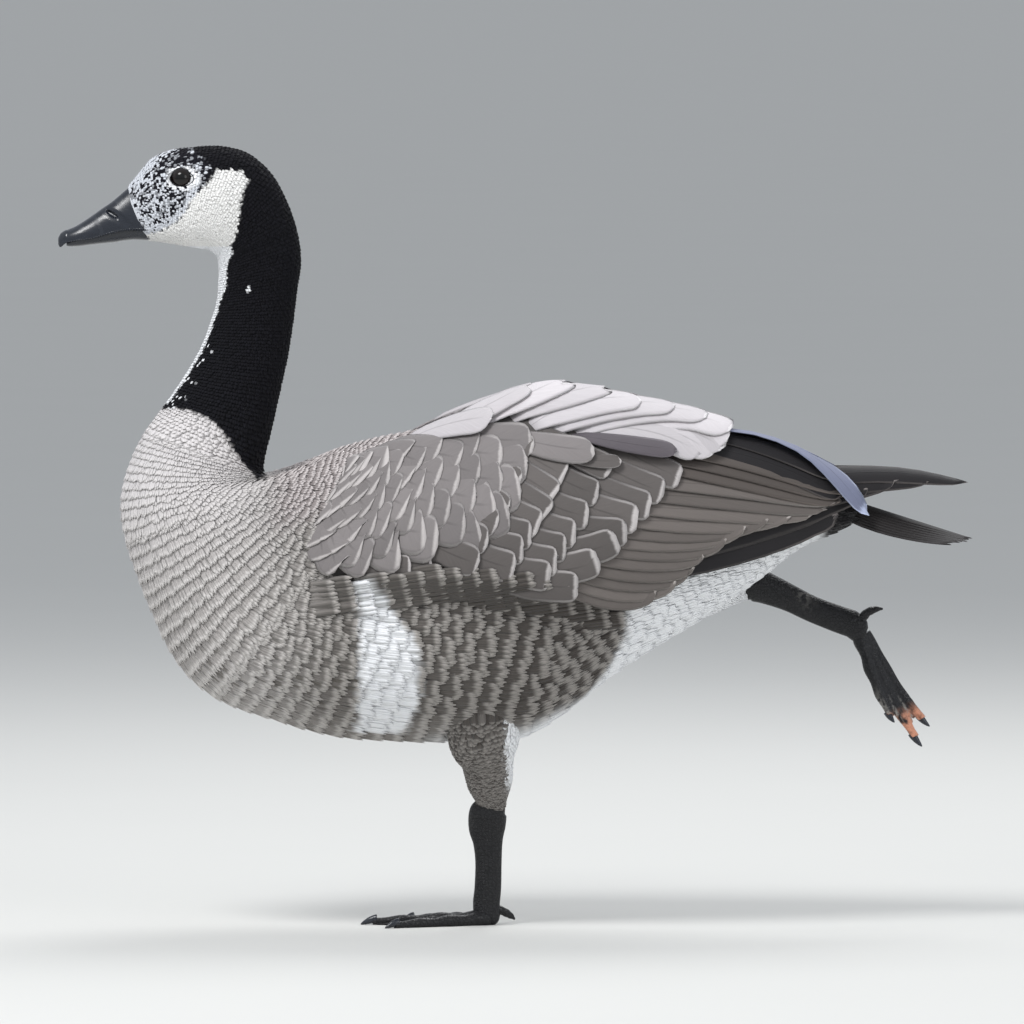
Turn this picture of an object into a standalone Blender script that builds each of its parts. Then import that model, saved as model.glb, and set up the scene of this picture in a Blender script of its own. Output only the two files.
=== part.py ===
"""A canada goose as a still, life-size model.

The bird stands on its left foot, stretches its right leg out behind, and faces -X with its left side
to -Y. The origin is on the sole of the standing foot. All lengths are in millimetres until a point is
put into a mesh, where MM makes metres of them.
"""

import math
import random

import bmesh
import bpy
import numpy as np
from mathutils import Matrix, Vector
from mathutils.bvhtree import BVHTree

MM = 0.001
NAME = "canada_goose"

# The gap between touching parts
GAP = 0.3

# How many points go round each kind of form, and how far apart its rings are, or for the legs how
# many there are from station to station
BODY_ROUND, BODY_STEP = 26, 18.0
HEAD_ROUND, HEAD_STEP = 24, 9.5
LEG_ROUND, LEG_STEPS = 12, 1.5
BILL_ROUND = 9

# Stations of head, neck and torso, from the bill's base to the root of the tail. Each row is the
# front or lower edge (x, z), the rear or upper edge (x, z), the half width, and how much wider the
# section is towards its lower edge.
SPINE = (
    (-199.2, 465.8, -213.5, 499.8, 12.4, 0.12),
    (-193.1, 465.1, -205.4, 510.0, 15.6, 0.10),
    (-187.0, 464.4, -195.8, 521.0, 18.2, 0.12),
    (-180.9, 463.4, -183.6, 526.7, 20.2, 0.14),
    (-174.8, 462.4, -168.0, 529.0, 21.6, 0.14),
    (-168.6, 461.4, -149.6, 529.7, 22.6, 0.12),
    (-162.5, 460.4, -130.6, 525.0, 23.0, 0.08),
    (-156.4, 459.0, -114.2, 510.7, 23.0, 0.05),
    (-151.6, 454.9, -103.4, 491.0, 22.8, 0.0),
    (-150.3, 448.1, -96.6, 469.9, 22.6, 0.0),
    (-150.3, 437.9, -94.5, 450.8, 22.6, 0.0),
    (-151.6, 423.6, -97.2, 430.4, 22.8, 0.0),
    (-156.4, 408.0, -100.0, 408.0, 23.4, 0.0),
    (-163.2, 391.0, -103.4, 386.9, 24.8, 0.0),
    (-172.7, 374.7, -108.1, 365.2, 27.4, 0.0),
    (-182.2, 360.4, -113.6, 340.7, 31.5, 0.0),
    (-191.8, 347.5, -119.7, 314.8, 37.5, 0.0),
    (-201.3, 333.9, -118.3, 306.7, 43.5, 0.0),
    (-210.1, 316.2, -111.5, 304.0, 50.0, 0.02),
    (-216.2, 294.4, -100.6, 307.4, 58.0, 0.04),
    (-216.2, 274.0, -87.0, 315.5, 65.5, 0.06),
    (-210.1, 249.6, -70.7, 323.4, 73.0, 0.07),
    (-197.2, 215.6, -53.0, 329.2, 79.5, 0.10),
    (-178.8, 178.8, -34.0, 333.6, 85.0, 0.13),
    (-152.3, 154.4, -13.6, 337.4, 87.0, 0.15),
    (-114.2, 140.1, 10.2, 343.0, 88.5, 0.16),
    (-71.4, 128.5, 35.4, 350.0, 88.5, 0.16),
    (-27.2, 125.1, 61.2, 355.5, 87.0, 0.16),
    (15.0, 125.1, 87.0, 357.0, 83.0, 0.15),
    (54.4, 127.2, 111.5, 351.5, 77.0, 0.14),
    (85.0, 144.8, 136.0, 343.0, 69.0, 0.12),
    (112.2, 166.6, 160.5, 332.0, 60.5, 0.09),
    (142.8, 187.0, 185.0, 320.0, 51.5, 0.06),
    (176.8, 207.4, 209.0, 307.5, 42.5, 0.02),
    (210.8, 230.5, 234.0, 296.0, 34.5, 0.0),
    (244.8, 256.4, 257.8, 288.0, 28.0, 0.0),
    (268.0, 266.6, 276.0, 284.0, 24.0, 0.0),
)
HEAD_END, NECK_MIDDLE, NECK_END, TORSO_END = 10, 13, 16, 36

# Upper and lower bill, from the head to the tip: lower edge (x, z), upper edge (x, z), half width
UPPER_BILL = (
    (-202.0, 472.4, -213.5, 499.8, 12.2),
    (-212.2, 472.6, -222.4, 492.3, 12.0),
    (-224.4, 470.2, -231.2, 486.2, 11.4),
    (-236.0, 466.8, -239.4, 480.4, 10.8),
    (-246.2, 465.7, -247.5, 475.3, 9.8),
    (-253.6, 464.0, -253.6, 472.7, 7.6),
    (-257.6, 461.2, -257.4, 470.2, 4.2),
    (-259.2, 463.0, -259.2, 467.2, 1.6),
)
LOWER_BILL = (
    (-199.2, 465.8, -201.6, 471.4, 10.6),
    (-210.1, 466.0, -212.2, 471.9, 10.4),
    (-223.7, 464.2, -224.4, 469.4, 9.8),
    (-235.3, 463.0, -236.0, 465.9, 9.2),
    (-244.1, 461.9, -244.8, 464.8, 8.0),
    (-251.0, 461.6, -251.0, 463.4, 5.6),
    (-253.6, 462.0, -253.6, 463.0, 3.0),
)
NOSTRIL_AT, NOSTRIL_SIZE = (-221.0, 484.6), (3.4, 2.0, 1.9)

# Each eye: its place seen from the side, its ball, and the ring of its lids
EYE_AT = (-174.8, 508.2)
EYE_RADIUS, EYE_DEPTH = 8.0, 5.2
LID_HALF_LENGTH, LID_HALF_HEIGHT, LID_RADIUS = 8.3, 6.4, 1.3

# Legs from the hip to the foot: place (x, y, z), half depth along the bird, half width across it
LEFT_LEG = (
    (27.0, -38.0, 158.0, 25.0, 22.0),
    (30.2, -30.0, 126.0, 23.6, 19.5),
    (32.4, -25.0, 112.0, 17.6, 15.5),
    (33.8, -20.5, 97.0, 15.0, 12.0),
    (34.6, -16.4, 84.5, 10.2, 8.0),
    (32.6, -14.4, 76.5, 12.8, 8.2),
    (32.0, -12.2, 66.0, 12.4, 6.8),
    (32.6, -10.2, 56.0, 10.0, 5.6),
    (33.0, -8.0, 43.0, 9.0, 5.2),
    (32.6, -5.0, 26.0, 9.1, 5.4),
    (31.6, -3.4, 15.5, 9.2, 6.2),
)
RIGHT_LEG = (
    (70.0, 50.0, 205.0, 33.0, 20.0),
    (108.0, 55.0, 209.0, 29.0, 19.0),
    (150.0, 57.0, 216.0, 21.5, 15.5),
    (182.0, 54.0, 222.5, 14.6, 12.0),
    (206.0, 51.0, 228.0, 10.0, 8.2),
    (216.0, 50.2, 228.6, 11.4, 8.4),
    (227.0, 49.4, 225.0, 10.4, 7.0),
    (240.0, 48.6, 219.4, 9.2, 5.6),
    (254.0, 47.6, 212.6, 8.9, 5.2),
    (270.0, 46.6, 206.4, 9.2, 5.5),
    (281.0, 46.0, 202.6, 9.4, 6.2),
)
THIGH_END, SHANK_END = 4, 10

# Toes: length with the claw, turn from straight ahead (inner side positive), radius at the base, and
# how far the root stands behind the joint and to the inner side
TOES = {
    "middle": (86.0, 0.0, 5.3, 0.0, 0.0),
    "inner": (66.0, 26.0, 4.9, 1.2, 2.3),
    "outer": (77.0, -25.0, 5.0, 0.7, -2.4),
}
TOE_STEPS, TOE_TIP, CLAW_SHARE = 8, 0.62, 0.12
HIND_TOES = {
    "left": ((33.0, -2.0, 10.4), (41.5, -0.6, 9.4), (47.5, 0.4, 6.2), (51.0, 1.0, 3.4)),
    "right": ((285.5, 45.4, 201.5), (291.0, 43.4, 209.5), (297.0, 42.6, 212.4), (302.5, 42.2, 213.0)),
}
HIND_TOE_RADII = (3.3, 3.0, 2.3, 0.6)
WEB_THICKNESS = 1.3
WEB_ROWS, WEB_ROOT = 4, (-3.0, 3.1)
WEB_REACH, WEB_HOLLOW, WEB_STEPS = 0.84, 0.66, 6

# The folded wings' outer surface at each x: top edge, widest height and half width
WING = (
    (-100.0, 310.0, 238.0, 82.5),
    (-60.0, 329.5, 237.0, 94.5),
    (-10.0, 344.5, 238.0, 98.0),
    (40.0, 359.0, 240.0, 98.0),
    (72.0, 366.0, 243.0, 95.5),
    (105.0, 362.5, 248.0, 89.5),
    (150.0, 353.5, 255.0, 76.5),
    (190.0, 343.5, 262.0, 61.0),
    (230.0, 331.0, 271.0, 45.0),
    (262.0, 319.0, 279.0, 33.0),
    (290.0, 316.0, 288.0, 24.0),
    (320.0, 313.0, 295.0, 17.0),
    (356.0, 305.0, 298.0, 11.0),
)
WING_DROP = 110.0

# The wing's core: x, lowest and highest angle of its edge, and thickness
WING_CORE = (
    (-92.0, 4.0, 40.0, 9.0),
    (-76.0, -4.0, 56.0, 13.0),
    (-40.0, -2.0, 64.0, 16.0),
    (20.0, -3.0, 72.0, 18.0),
    (80.0, -8.0, 78.0, 18.0),
    (130.0, -10.0, 79.0, 16.0),
    (170.0, -4.0, 78.0, 13.0),
    (200.0, 8.0, 70.0, 9.0),
)
CORE_STEPS, CORE_ACROSS, CORE_LIFT = 12, 7, -3.0

# Tiers of feathers: count, first root, last root, first tip, last tip (each x and angle), half
# width, height of root and tip over the wing's surface, lift of the lower edge, and how much deeper
# each next feather lies
TIERS = {
    "primary": (4, (150, 4), (162, 16), (262, 18), (353, 27), 10.0, -7.0, -3.0, 0.6, 1.4),
    "secondary": (7, (20, 10), (130, 36), (119, -17), (256, 5), 12.0, -6.0, 2.0, 2.2, 0.0),
    "greater_covert": (7, (-18, 1), (86, 35), (42, -2), (140, 26), 11.0, -6.0, 2.8, 2.2, 0.0),
    "median_covert": (6, (-58, 3), (46, 41), (-8, 2), (96, 37), 12.0, -6.0, 2.8, 2.2, 0.0),
    "lesser_covert": (5, (-88, 10), (2, 47), (-46, 7), (50, 44), 12.0, -6.0, 2.8, 2.2, 0.0),
    "tertial": (4, (96, 40), (150, 62), (250, 12), (286, 40), 13.0, -6.0, 5.0, 2.2, 0.0),
    "scapular_lower": (6, (-62, 60), (104, 58), (6, 59), (182, 56), 14.0, -6.0, 5.0, 1.6, 0.0),
    "scapular_upper": (5, (-40, 77), (92, 79), (34, 78), (168, 77), 14.0, -6.0, 4.0, 1.2, 0.0),
}
VANE_STEPS = (0.0, 0.3, 0.62, 0.86, 1.0)
VANE_SHAPE = (0.5, 0.9, 1.0, 0.72, 0.15)
VANE_THICKNESS = 0.9
VANE_LENGTH_SPREAD = 0.03

# The tail: a fan of feathers in two halves, the middle pair on top. Its root is measured from the
# end of the torso, and each next feather lies lower and further out.
TAIL_FEATHERS, TAIL_LENGTH, TAIL_HALF_WIDTH = 14, 88.0, 9.5
TAIL_ROOT, TAIL_SLOPE = (-10.0, 11.0), -13.5
TAIL_FAN, TAIL_FALL, TAIL_STAGGER = 2.6, 1.4, 1.7
TAIL_SHORTER = 0.12
TAIL_CORE_LENGTH = 30.0

# Colour, roughness and metallic value of each material
MATERIALS = {
    "black_plumage": ((0.012, 0.012, 0.016), 0.6, 0.0),
    "body_plumage": ((0.47, 0.43, 0.39), 0.75, 0.0),
    "wing_plumage": ((0.19, 0.16, 0.14), 0.7, 0.0),
    "tail_plumage": ((0.02, 0.017, 0.016), 0.6, 0.0),
    "bill_horn": ((0.012, 0.013, 0.016), 0.35, 0.0),
    "leg_skin": ((0.014, 0.014, 0.016), 0.45, 0.0),
    "eye": ((0.012, 0.008, 0.006), 0.08, 0.0),
}


def clear_scene():
    """Removes every object, so that the script builds the same model each time."""
    for old in list(bpy.data.objects):
        bpy.data.objects.remove(old, do_unlink=True)


def material(name):
    """Returns the named material, made on first use from the table of finishes."""
    found = bpy.data.materials.get(name)
    if found:
        return found
    colour, roughness, metallic = MATERIALS[name]
    made = bpy.data.materials.new(name)
    made.use_nodes = True
    shader = made.node_tree.nodes["Principled BSDF"]
    shader.inputs["Base Color"].default_value = (*colour, 1.0)
    shader.inputs["Roughness"].default_value = roughness
    shader.inputs["Metallic"].default_value = metallic
    made.diffuse_color = (*colour, 1.0)
    return made


def smooth_rows(rows, at):
    """Reads a table at fractional row numbers, on a Catmull-Rom curve through its rows."""
    rows = np.asarray(rows, float)
    at = np.asarray(at, float)
    padded = np.vstack([2 * rows[0] - rows[1], rows, 2 * rows[-1] - rows[-2]])
    i = np.clip(np.floor(at).astype(int), 0, len(rows) - 2)
    f = (at - i)[:, None]
    a, b, c, d = padded[i], padded[i + 1], padded[i + 2], padded[i + 3]
    cubic = 3 * (b - c) + d - a
    return b + 0.5 * f * (c - a + f * (2 * a - 5 * b + 4 * c - d + f * cubic))


def new_object(name, vertices, faces):
    """Makes a mesh object from points in millimetres, with its faces turned outwards."""
    mesh = bpy.data.meshes.new(name)
    points = [tuple(float(value) * MM for value in point) for point in vertices]
    mesh.from_pydata(points, [], faces)
    made = bpy.data.objects.new(name, mesh)
    bpy.context.scene.collection.objects.link(made)
    work = bmesh.new()
    work.from_mesh(mesh)
    bmesh.ops.recalc_face_normals(work, faces=work.faces)
    work.to_mesh(mesh)
    work.free()
    return made


def loft(name, rings):
    """Skins a closed body over rings of equally many points, with a flat cap on each end."""
    rings = np.asarray(rings, float)
    count, around = rings.shape[:2]
    faces = []
    for ring in range(count - 1):
        for point in range(around):
            after = (point + 1) % around
            low, high = ring * around, (ring + 1) * around
            faces.append((low + point, low + after, high + after, high + point))
    faces.append(tuple(range(around))[::-1])
    faces.append(tuple(range((count - 1) * around, count * around)))
    return new_object(name, rings.reshape(-1, 3), faces)


def slab(name, outer, inner):
    """Closes two like grids of points into one thin body, split alike on both faces."""
    outer, inner = np.asarray(outer, float), np.asarray(inner, float)
    rows, columns = outer.shape[:2]
    size = rows * columns
    faces = []
    for row in range(rows - 1):
        for column in range(columns - 1):
            a = row * columns + column
            b, c, d = a + 1, a + columns + 1, a + columns
            faces += [(a, b, c), (a, c, d)]
            faces += [(size + c, size + b, size + a), (size + d, size + c, size + a)]
    rim = [(0, column) for column in range(columns)]
    rim += [(row, columns - 1) for row in range(1, rows)]
    rim += [(rows - 1, column) for column in range(columns - 2, -1, -1)]
    rim += [(row, 0) for row in range(rows - 2, 0, -1)]
    edge = [row * columns + column for row, column in rim]
    for here, after in zip(edge, edge[1:] + edge[:1]):
        faces += [(after, here, size + here), (after, size + here, size + after)]
    points = np.concatenate([outer.reshape(-1, 3), inner.reshape(-1, 3)])
    return new_object(name, points, faces)


def even_rows(start, end, step):
    """Rows of the spine table between two stations, spaced so that the edge that travels further
    moves by about one step from row to row."""
    at = np.linspace(start, end, 40 * int(end - start) + 1)
    moves = np.diff(smooth_rows(SPINE, at)[:, :4], axis=0).reshape(-1, 2, 2)
    travel = np.linalg.norm(moves, axis=2).max(axis=1)
    travel = np.concatenate([[0.0], np.cumsum(travel)])
    count = max(3, int(round(travel[-1] / step)) + 1)
    return smooth_rows(SPINE, np.interp(np.linspace(0, travel[-1], count), travel, at))


def body_rings(start, end, around, step, start_gap=0.0, end_gap=0.0):
    """Rings of the head, neck and torso between two stations. Each ring is an oval in the plane of
    its two edge points: cosine along them, sine times the half width across, wider towards the
    lower edge. The end rings move along the body to leave a gap."""
    rows = even_rows(start, end, step)
    turn = np.linspace(0, 2 * math.pi, around, endpoint=False)
    rings = []
    for low_x, low_z, high_x, high_z, width, weight in rows:
        along = np.cos(turn)
        x = (low_x + high_x) / 2 + (low_x - high_x) / 2 * along
        z = (low_z + high_z) / 2 + (low_z - high_z) / 2 * along
        y = width * np.sign(np.sin(turn)) * np.abs(np.sin(turn)) ** 0.9 * (1 + weight * along)
        rings.append(np.stack([x, y, z], axis=1))
    rings = np.array(rings)
    for index, gap in ((0, start_gap), (-1, -end_gap)):
        low, high = rows[index][:2], rows[index][2:4]
        across = (high - low) / np.linalg.norm(high - low)
        rings[index] += gap * np.array([across[1], 0.0, -across[0]])
    return rings


def limb_rings(rows, start, end, start_gap=0.0, end_gap=0.0):
    """Rings of a leg: ovals square to the path, deep along the bird and narrow across it."""
    steps = int(round((end - start) * LEG_STEPS)) + 1
    at = np.linspace(start, end, steps)
    values = smooth_rows(rows, at)
    ahead = smooth_rows(rows, np.clip(at + 0.05, 0, len(rows) - 1))
    behind = smooth_rows(rows, np.clip(at - 0.05, 0, len(rows) - 1))
    turn = np.linspace(0, 2 * math.pi, LEG_ROUND, endpoint=False)
    rings = []
    for index, row in enumerate(values):
        path = ahead[index, :3] - behind[index, :3]
        path /= np.linalg.norm(path)
        deep = np.cross((0.0, 1.0, 0.0), path)
        deep /= np.linalg.norm(deep)
        wide = np.cross(path, deep)
        centre = row[:3]
        if index == 0:
            centre = centre + start_gap * path
        if index == steps - 1:
            centre = centre - end_gap * path
        ring = centre + row[3] * np.outer(np.cos(turn), deep) + row[4] * np.outer(np.sin(turn), wide)
        rings.append(ring)
    return np.array(rings)


def boolean(body, operation, other=None, collection=None, solver="MANIFOLD"):
    """Applies one Boolean to a body, with an object or a collection of closed bodies."""
    change = body.modifiers.new(operation.lower(), "BOOLEAN")
    change.operation = operation
    change.solver = solver
    if collection:
        change.operand_type = "COLLECTION"
        change.collection = collection
    else:
        change.object = other
    bpy.context.view_layer.update()
    evaluated = body.evaluated_get(bpy.context.evaluated_depsgraph_get())
    result = bpy.data.meshes.new_from_object(evaluated)
    body.modifiers.clear()
    old = body.data
    body.data = result
    bpy.data.meshes.remove(old)


def fuse(name, pieces, solver="MANIFOLD"):
    """Joins closed pieces into one body with one Boolean union, and removes the pieces."""
    body = pieces[0]
    body.name = name
    operands = bpy.data.collections.new(name + "_pieces")
    bpy.context.scene.collection.children.link(operands)
    for piece in pieces[1:]:
        for old in list(piece.users_collection):
            old.objects.unlink(piece)
        operands.objects.link(piece)
    boolean(body, "UNION", collection=operands, solver=solver)
    for piece in pieces[1:]:
        bpy.data.objects.remove(piece, do_unlink=True)
    bpy.data.collections.remove(operands)
    return body


def cut(body, cutter):
    """Cuts a body with a cutter, and removes the cutter."""
    cutter.hide_render = True
    cutter.display_type = "WIRE"
    boolean(body, "DIFFERENCE", other=cutter)
    bpy.data.objects.remove(cutter, do_unlink=True)
    return body


def grown(body, distance):
    """Returns a copy of a body, as a cutter that reaches a little past its surface."""
    copy = bpy.data.objects.new(body.name + "_cutter", body.data.copy())
    bpy.context.scene.collection.objects.link(copy)
    normals = [vertex.normal.copy() for vertex in copy.data.vertices]
    for vertex, normal in zip(copy.data.vertices, normals):
        vertex.co += normal * distance * MM
    return copy


def surface_volume(faces):
    """Volume inside a set of faces, as a sum of the pyramids from the origin to each triangle."""
    total = 0.0
    for face in faces:
        points = [vertex.co for vertex in face.verts]
        for second, third in zip(points[1:-1], points[2:]):
            total += points[0].dot(second.cross(third)) / 6
    return total


def keep_largest(body):
    """Keeps the largest closed surface of a body, in triangles, and drops any loose scrap."""
    work = bmesh.new()
    work.from_mesh(body.data)
    bmesh.ops.triangulate(work, faces=work.faces)
    left, groups = set(work.faces), []
    while left:
        group, reach = set(), [left.pop()]
        while reach:
            face = reach.pop()
            group.add(face)
            near = {other for edge in face.edges for other in edge.link_faces} & left
            left -= near
            reach.extend(near)
        groups.append(group)
    groups.sort(key=surface_volume)
    dropped = [face for group in groups[:-1] for face in group]
    bmesh.ops.delete(work, geom=dropped, context="FACES")
    work.to_mesh(body.data)
    work.free()


def finish(body, finish_name, flat_above=40.0):
    """Gives a body its material, one closed surface, and smooth shading but for sharp edges."""
    keep_largest(body)
    body.data.materials.clear()
    body.data.materials.append(material(finish_name))
    body.data.shade_smooth()
    body.data.set_sharp_from_angle(angle=math.radians(flat_above))
    return body


def ellipsoid(name, centre, radii, segments=14, rings=8):
    """A stretched sphere, with its place and scale applied."""
    work = bmesh.new()
    bmesh.ops.create_uvsphere(work, u_segments=segments, v_segments=rings, radius=1.0)
    stretch = Matrix.Diagonal((radii[0] * MM, radii[1] * MM, radii[2] * MM, 1.0))
    bmesh.ops.transform(work, matrix=stretch, verts=work.verts)
    mesh = bpy.data.meshes.new(name)
    work.to_mesh(mesh)
    work.free()
    made = bpy.data.objects.new(name, mesh)
    bpy.context.scene.collection.objects.link(made)
    made.data.transform(Matrix.Translation(Vector(centre) * MM))
    return made


def side_point(body, x, z, side):
    """Where a line along Y from one side first meets a body, with the normal there, in mm."""
    tree = BVHTree.FromObject(body, bpy.context.evaluated_depsgraph_get())
    start = Vector((x * MM, side * 1.0, z * MM))
    place, normal, _, _ = tree.ray_cast(start, Vector((0.0, -side, 0.0)))
    return place / MM, normal


def lid_ring(name, centre, normal):
    """The rim of the lids: a ring stretched to the eye's opening, lying on the head."""
    bpy.ops.mesh.primitive_torus_add(
        major_segments=14,
        minor_segments=5,
        major_radius=1.0,
        minor_radius=LID_RADIUS / LID_HALF_HEIGHT,
    )
    made = bpy.context.object
    made.name = name
    along = Vector((1.0, 0.0, 0.0))
    along = (along - along.dot(normal) * normal).normalized()
    turn = Matrix((along, normal.cross(along), normal)).transposed().to_4x4()
    half_length, half_height = LID_HALF_LENGTH * MM, LID_HALF_HEIGHT * MM
    stretch = Matrix.Diagonal((half_length, half_height, half_height, 1.0))
    made.data.transform(Matrix.Translation(centre * MM) @ turn @ stretch)
    return made


def make_head():
    """The head to the bill's base, with the rims of the lids and a socket for each eye."""
    rings = body_rings(0, HEAD_END, HEAD_ROUND, HEAD_STEP, end_gap=GAP / 2)
    head = loft("head", rings)
    centres, pieces = [], [head]
    for side, word in ((-1, "left"), (1, "right")):
        place, normal = side_point(head, EYE_AT[0], EYE_AT[1], side)
        centres.append((word, place - normal * EYE_DEPTH))
        pieces.append(lid_ring("lids_" + word, place + normal * 0.3, normal))
    fuse("head", pieces)
    eyes = []
    for word, centre in centres:
        socket = EYE_RADIUS + GAP
        cut(head, ellipsoid("socket", centre, (socket, socket, socket)))
        eye = ellipsoid("eye_" + word, centre, (EYE_RADIUS, EYE_RADIUS, EYE_RADIUS))
        eyes.append(finish(eye, "eye"))
    return [finish(head, "black_plumage"), *eyes]


def make_neck():
    """The neck in two lengths, parted by thin gaps."""
    half = GAP / 2
    upper = body_rings(HEAD_END, NECK_MIDDLE, BODY_ROUND, BODY_STEP, half, half)
    lower = body_rings(NECK_MIDDLE, NECK_END, BODY_ROUND, BODY_STEP, half, half)
    made = [loft("neck_upper", upper), loft("neck_lower", lower)]
    return [finish(length, "black_plumage") for length in made]


def make_torso():
    """Breast, back, belly and vent in one body, down to the root of the tail."""
    half = GAP / 2
    rings = body_rings(NECK_END, TORSO_END, BODY_ROUND, BODY_STEP, half, half)
    return finish(loft("torso", rings), "body_plumage")


def bill_half(name, stations, arch):
    """One half of the bill: an arched ridge over a flat edge, or the same turned over. The arch is
    half an oval from edge to edge, and the flat side closes it."""
    turn = np.linspace(-math.pi / 2, math.pi / 2, BILL_ROUND)
    rings = []
    rows = smooth_rows(stations, np.linspace(0, len(stations) - 1, 2 * len(stations) - 1))
    for low_x, low_z, high_x, high_z, width in rows:
        edge, ridge = (low_x, low_z), (high_x, high_z)
        if not arch:
            edge, ridge = ridge, edge
        rise = np.cos(turn) ** 0.85
        x = edge[0] + (ridge[0] - edge[0]) * rise
        z = edge[1] + (ridge[1] - edge[1]) * rise
        rings.append(np.stack([x, width * np.sin(turn), z], axis=1))
    rings = np.array(rings)
    back = rings[0]
    across = back[BILL_ROUND // 2] - back[0]
    across /= np.linalg.norm(across)
    rings[0] = back + GAP * np.array([-abs(across[2]), 0.0, -abs(across[0])])
    return loft(name, rings)


def make_bill():
    """Upper bill with its nostrils, and lower bill. The gap between them is the mouth."""
    upper = bill_half("bill_upper", UPPER_BILL, True)
    for side in (-1, 1):
        place, _ = side_point(upper, NOSTRIL_AT[0], NOSTRIL_AT[1], side)
        cutter = ellipsoid("nostril", (0.0, 0.0, 0.0), NOSTRIL_SIZE, 8, 6)
        cutter.data.transform(Matrix.Rotation(math.radians(32), 4, "Y"))
        cutter.data.transform(Matrix.Translation(place * MM))
        cut(upper, cutter)
    lower = bill_half("bill_lower", LOWER_BILL, False)
    return [finish(half, "bill_horn") for half in (upper, lower)]


def tube(name, points, radii):
    """A round tube with its own radius at each point, from a curve, made a mesh."""
    curve = bpy.data.curves.new(name, "CURVE")
    curve.dimensions = "3D"
    curve.bevel_depth = MM
    curve.bevel_resolution = 2
    curve.use_fill_caps = True
    line = curve.splines.new("POLY")
    line.points.add(len(points) - 1)
    for knot, point, radius in zip(line.points, points, radii):
        knot.co = (*(Vector(point) * MM), 1.0)
        knot.radius = radius
    return curve_to_mesh(name, curve)


def curve_to_mesh(name, curve):
    """Makes a mesh object of a curve, with its caps welded on."""
    source = bpy.data.objects.new(name + "_curve", curve)
    bpy.context.scene.collection.objects.link(source)
    bpy.context.view_layer.update()
    evaluated = source.evaluated_get(bpy.context.evaluated_depsgraph_get())
    made = bpy.data.objects.new(name, bpy.data.meshes.new_from_object(evaluated))
    bpy.context.scene.collection.objects.link(made)
    bpy.data.objects.remove(source, do_unlink=True)
    work = bmesh.new()
    work.from_mesh(made.data)
    bmesh.ops.remove_doubles(work, verts=work.verts, dist=0.00001)
    bmesh.ops.recalc_face_normals(work, faces=work.faces)
    work.to_mesh(made.data)
    work.free()
    return made


def toe_direction(turn):
    """The level direction of a toe that is turned by some degrees from straight ahead."""
    return Vector((-math.cos(math.radians(turn)), math.sin(math.radians(turn)), 0.0))


def make_toe(name, base, length, turn, radius, curl):
    """A toe with swollen joints and a claw. Its radius falls to the tip and swells three times, and
    curl bends the outer half down out of the level."""
    direction = toe_direction(turn)
    points, radii = [], []
    bare = length * (1 - CLAW_SHARE)
    for step in range(TOE_STEPS):
        share = step / (TOE_STEPS - 1)
        swell = 1 + 0.09 * math.sin(share * 3 * 2 * math.pi)
        size = radius * (1 - (1 - TOE_TIP) * share) * swell
        drop = curl * bare * max(0.0, share - 0.45) ** 2
        points.append(base + direction * bare * share + Vector((0.0, 0.0, 0.82 * size - drop)))
        radii.append(size)
    pieces = [tube(name, points, radii)]
    root = points[-1]
    claw_length = length * CLAW_SHARE
    claw_rise = (0.35, 0.30, -0.15, -0.45)
    claw = [root + direction * claw_length * reach for reach in (-0.35, 0.2, 0.7, 1.0)]
    claw = [point + Vector((0, 0, radius * rise)) for point, rise in zip(claw, claw_rise)]
    pieces.append(tube(name + "_claw", claw, [radius * 0.5, radius * 0.46, radius * 0.28, 0.35]))
    return pieces


def make_web(name, turns, curl):
    """The web: its edge runs out along the outer toe and back along the inner one, with a hollow
    arc from toe to toe, as deep as half a sine wave."""
    corners = []
    for toe in ("outer", "middle", "inner"):
        length = TOES[toe][0] * WEB_REACH
        corners.append(toe_direction(turns[toe]) * length)
    flank = math.copysign(WEB_ROOT[1], turns["outer"])
    edge = [Vector((WEB_ROOT[0], flank, 0.0))]
    for first, second in zip(corners[:-1], corners[1:]):
        for step in range(WEB_STEPS):
            share = step / (WEB_STEPS - 1)
            point = first.lerp(second, share)
            edge.append(point * (1 - (1 - WEB_HOLLOW) * 0.42 * math.sin(math.pi * share)))
    edge.append(Vector((WEB_ROOT[0], -flank, 0.0)))
    outer, inner = [], []
    for share in np.linspace(0, 1, WEB_ROWS):
        line = [edge[0].lerp(edge[-1], index / (len(edge) - 1)).lerp(point, share)
                for index, point in enumerate(edge)]
        for grid, height in ((outer, WEB_THICKNESS), (inner, -GAP)):
            grid.append([(p.x, p.y, height - web_drop(p, curl)) for p in line])
    return slab(name, outer, inner)


def web_drop(point, curl):
    """How far the foot's outer half is bent down at a point of the sole."""
    bare = TOES["middle"][0] * (1 - CLAW_SHARE)
    share = point.length / bare
    return curl * bare * max(0.0, share - 0.45) ** 2


def make_foot(name, side, spread, curl, place):
    """The three front toes and the web of a foot. They are built with the sole level and the joint
    at the origin, then moved by the matrix place."""
    turns = {toe: values[1] * spread * -side for toe, values in TOES.items()}
    pieces = []
    for toe, (length, _, radius, behind, inner) in TOES.items():
        base = Vector((behind, -side * inner, 0.0))
        pieces += make_toe(name + "_" + toe, base, length, turns[toe], radius, curl)
    pieces.append(make_web(name + "_web", turns, curl))
    for piece in pieces:
        piece.data.transform(place)
    return pieces


def level_sole(foot):
    """Cuts off what is below the floor, which leaves small flats under the toes and the web."""
    floor = ellipsoid("floor", (0.0, 0.0, 0.0), (1.0, 1.0, 1.0))
    work = bmesh.new()
    bmesh.ops.create_cube(work, size=1.0)
    size = Matrix.Diagonal((0.4, 0.4, 0.1, 1.0))
    bmesh.ops.transform(work, matrix=Matrix.Translation((0, 0, -0.05)) @ size, verts=work.verts)
    work.to_mesh(floor.data)
    work.free()
    return cut(foot, floor)


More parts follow.
